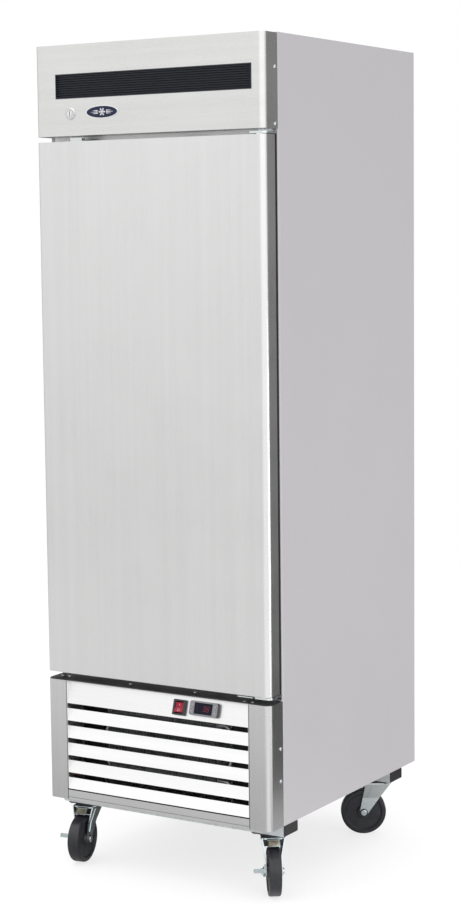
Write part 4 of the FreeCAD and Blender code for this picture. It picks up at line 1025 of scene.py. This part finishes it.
def compressor_details():
    """Weld seam round the can, and rubber grommets with bolts on its feet."""
    low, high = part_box("compressor")
    can_x, seam_z, foot_z = low.x + 118 * MM, low.z + 108 * MM, low.z + 22 * MM
    centre = Vector((can_x, (low.y + high.y) / 2, 0))
    seam = ring([(83 * MM, seam_z - 4 * MM), (85.5 * MM, seam_z - 3 * MM), (86.5 * MM, seam_z),
                 (85.5 * MM, seam_z + 3 * MM), (83 * MM, seam_z + 4 * MM)], 96)
    seam.transform(Matrix.Translation(centre))
    piece("compressor_seam", seam, "machine_black", "cabinet")
    grommet = [(11 * MM, 0), (11.5 * MM, 2 * MM), (9 * MM, 4.5 * MM), (9 * MM, 6 * MM)]
    bolt = [(7 * MM, 6 * MM), (7 * MM, 7.2 * MM), (3 * MM, 7.4 * MM), (3 * MM, 12 * MM)]
    rubber, bolts = bmesh.new(), bmesh.new()
    for sx in SIDES:
        for sy in SIDES:
            spot = Matrix.Translation(centre + Vector((sx * 78 * MM, sy * 58 * MM, foot_z)))
            join(rubber, lathe(grommet, 32), spot)
            join(bolts, lathe(bolt, 24), spot)
    piece("compressor_grommets", rubber, "gasket", "cabinet")
    piece("compressor_bolts", bolts, "zinc_plate", "cabinet")


def lock_keyway():
    """Key slot and two pin holes in the face of the lock's plug, black as painted shade inside them."""
    centre = joint_point("lock_turn")
    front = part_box("lock_plug")[0].y
    sunk, proud, pin_radius = -0.4 * MM, 0.12 * MM, 1.15 * MM
    shape = bmesh.new()
    face = basis(Vector((centre.x, front, centre.z)), (0, -1, 0))
    join(shape, prism(rounded_outline(0.9 * MM, 3.2 * MM, 0.8 * MM), sunk, proud), face)
    for up in (-5.2, 5.2):
        pin = lathe([(pin_radius, sunk), (pin_radius, proud)], 20)
        join(shape, pin, face @ Matrix.Translation((0, up * MM, 0)))
    piece("lock_keyway", shape, "black_plastic", "lock_plug")


def air_seals():
    """Black foam beside the condenser and behind the rail, so that all air goes through the coil."""
    shroud_low, shroud_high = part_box("condenser_shroud")
    y0, y1 = shroud_low.y + 2 * MM, shroud_low.y + 12 * MM
    z0, left_top, right_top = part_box("machine_base")[0].z + 2.5 * MM, 0.500, 0.430
    gap, wall, bevel = 1 * MM, HALF - 14 * MM, 1 * MM
    pipe_x, pipe_z, room = -0.262, 0.2236, 5 * MM
    blocks = ((-wall, pipe_x - room, z0, left_top),
              (pipe_x + room, shroud_low.x - gap, z0, left_top),
              (shroud_high.x + gap, wall, z0, right_top),
              (pipe_x - room, pipe_x + room, pipe_z + room, left_top))
    shape = bmesh.new()
    for x0, x1, low, high in blocks:
        join(shape, block((x0, y0, low), (x1, y1, high), bevel))
    reach = HALF - 66 * MM
    join(shape, block((-reach, FRONT + 14 * MM, z0), (reach, FRONT + 20 * MM, z0 + 40 * MM), bevel))
    piece("air_seals", shape, "black_plastic", "cabinet")


def rail_crease():
    """The shadow line above the hem of the bottom rail."""
    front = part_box("machine_base")[0].y
    reach, z = HALF - 63 * MM, 190.6 * MM
    line = block((-reach, front - 0.15 * MM, z), (reach, front + 0.2 * MM, z + 0.9 * MM))
    piece("rail_crease", line, "dark_plate_and_painted_shade", "cabinet")


def post_gap_shadows():
    """Dark strips along the corner posts' inner edges, beside the louvre panel and the rail: painted shadow
    of the gaps there.
    """
    post_low, post_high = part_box("corner_posts")
    inner, wide = HALF - 61.9 * MM, 1.3 * MM
    shape = bmesh.new()
    for side in SIDES:
        x0, x1 = sorted((side * inner, side * (inner + wide)))
        join(shape, block((x0, post_low.y - 0.12 * MM, post_low.z + 0.5 * MM),
                          (x1, post_low.y + 0.3 * MM, post_high.z - 1 * MM)))
    piece("post_gap_shadows", shape, "dark_plate_and_painted_shade", "cabinet")


def gap_shade_strips():
    """Dark plastic strips on the cabinet's face, outside the gasket, from the lower cap to the header:
    painted shade of the gap between door and cabinet.
    """
    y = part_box("side_panel_right")[0].y
    low, high = LOWER_CAP_TOP + 2 * MM, HEADER_BOTTOM - 12 * MM
    shape = bmesh.new()
    for side in SIDES:
        x0, x1 = sorted((side * (HALF - 14.5 * MM), side * (HALF - 3 * MM)))
        join(shape, block((x0, y - 0.8 * MM, low), (x1, y + 0.2 * MM, high), 0.3 * MM))
    piece("gap_shade_strips", shape, "gap_shade", "cabinet")


def hinge_leaf():
    """Thin leaf of the lower hinge that runs in under the door, and two screws on the lower cap."""
    left, right = 0.245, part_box("lower_hinge")[0].x - 0.5 * MM
    front, top = FRONT + 7 * MM, DOOR_LOW.z - 4.5 * MM
    leaf = block((left, front, top - 2.5 * MM), (right, front + 34 * MM, top), 0.6 * MM)
    piece("hinge_leaf", leaf, "zinc_plate", "cabinet")
    spots = [Vector((x, FRONT + 13 * MM, LOWER_CAP_TOP)) for x in (0.262, 0.286)]
    screws("hinge_leaf_screw", spots, 4.2 * MM, 2.4 * MM, "zinc_plate", "cabinet")


def make_pieces():
    """All pieces that are only seen, on top of the CAD model."""
    badge_emblem()
    gap_shade_strips()
    rail_crease()
    post_gap_shadows()
    hinge_leaf()
    lock_keyway()
    air_seals()
    display_digits()
    key_arrows()
    rocker_marks()
    door_gasket()
    strike_screws()
    channel_shade_plugs()
    for name in CASTOR_NAMES:
        castor_details(name)
    liner_coves()
    lamp_details()
    compressor_details()


bpy.context.scene.view_settings.view_transform = "Standard"
make_camera()
make_world()
make_floor()
area_light("overhead", place=(-0.8, -2.2, 4.2), target=(0, 0, 1.0), size=2.2, power=30.0)
area_light("low_right", place=(3.4, 0.2, 0.5), target=(0.34, 0.0, 0.5), size=1.4, power=16.0)
dress_nodes()
make_pieces()
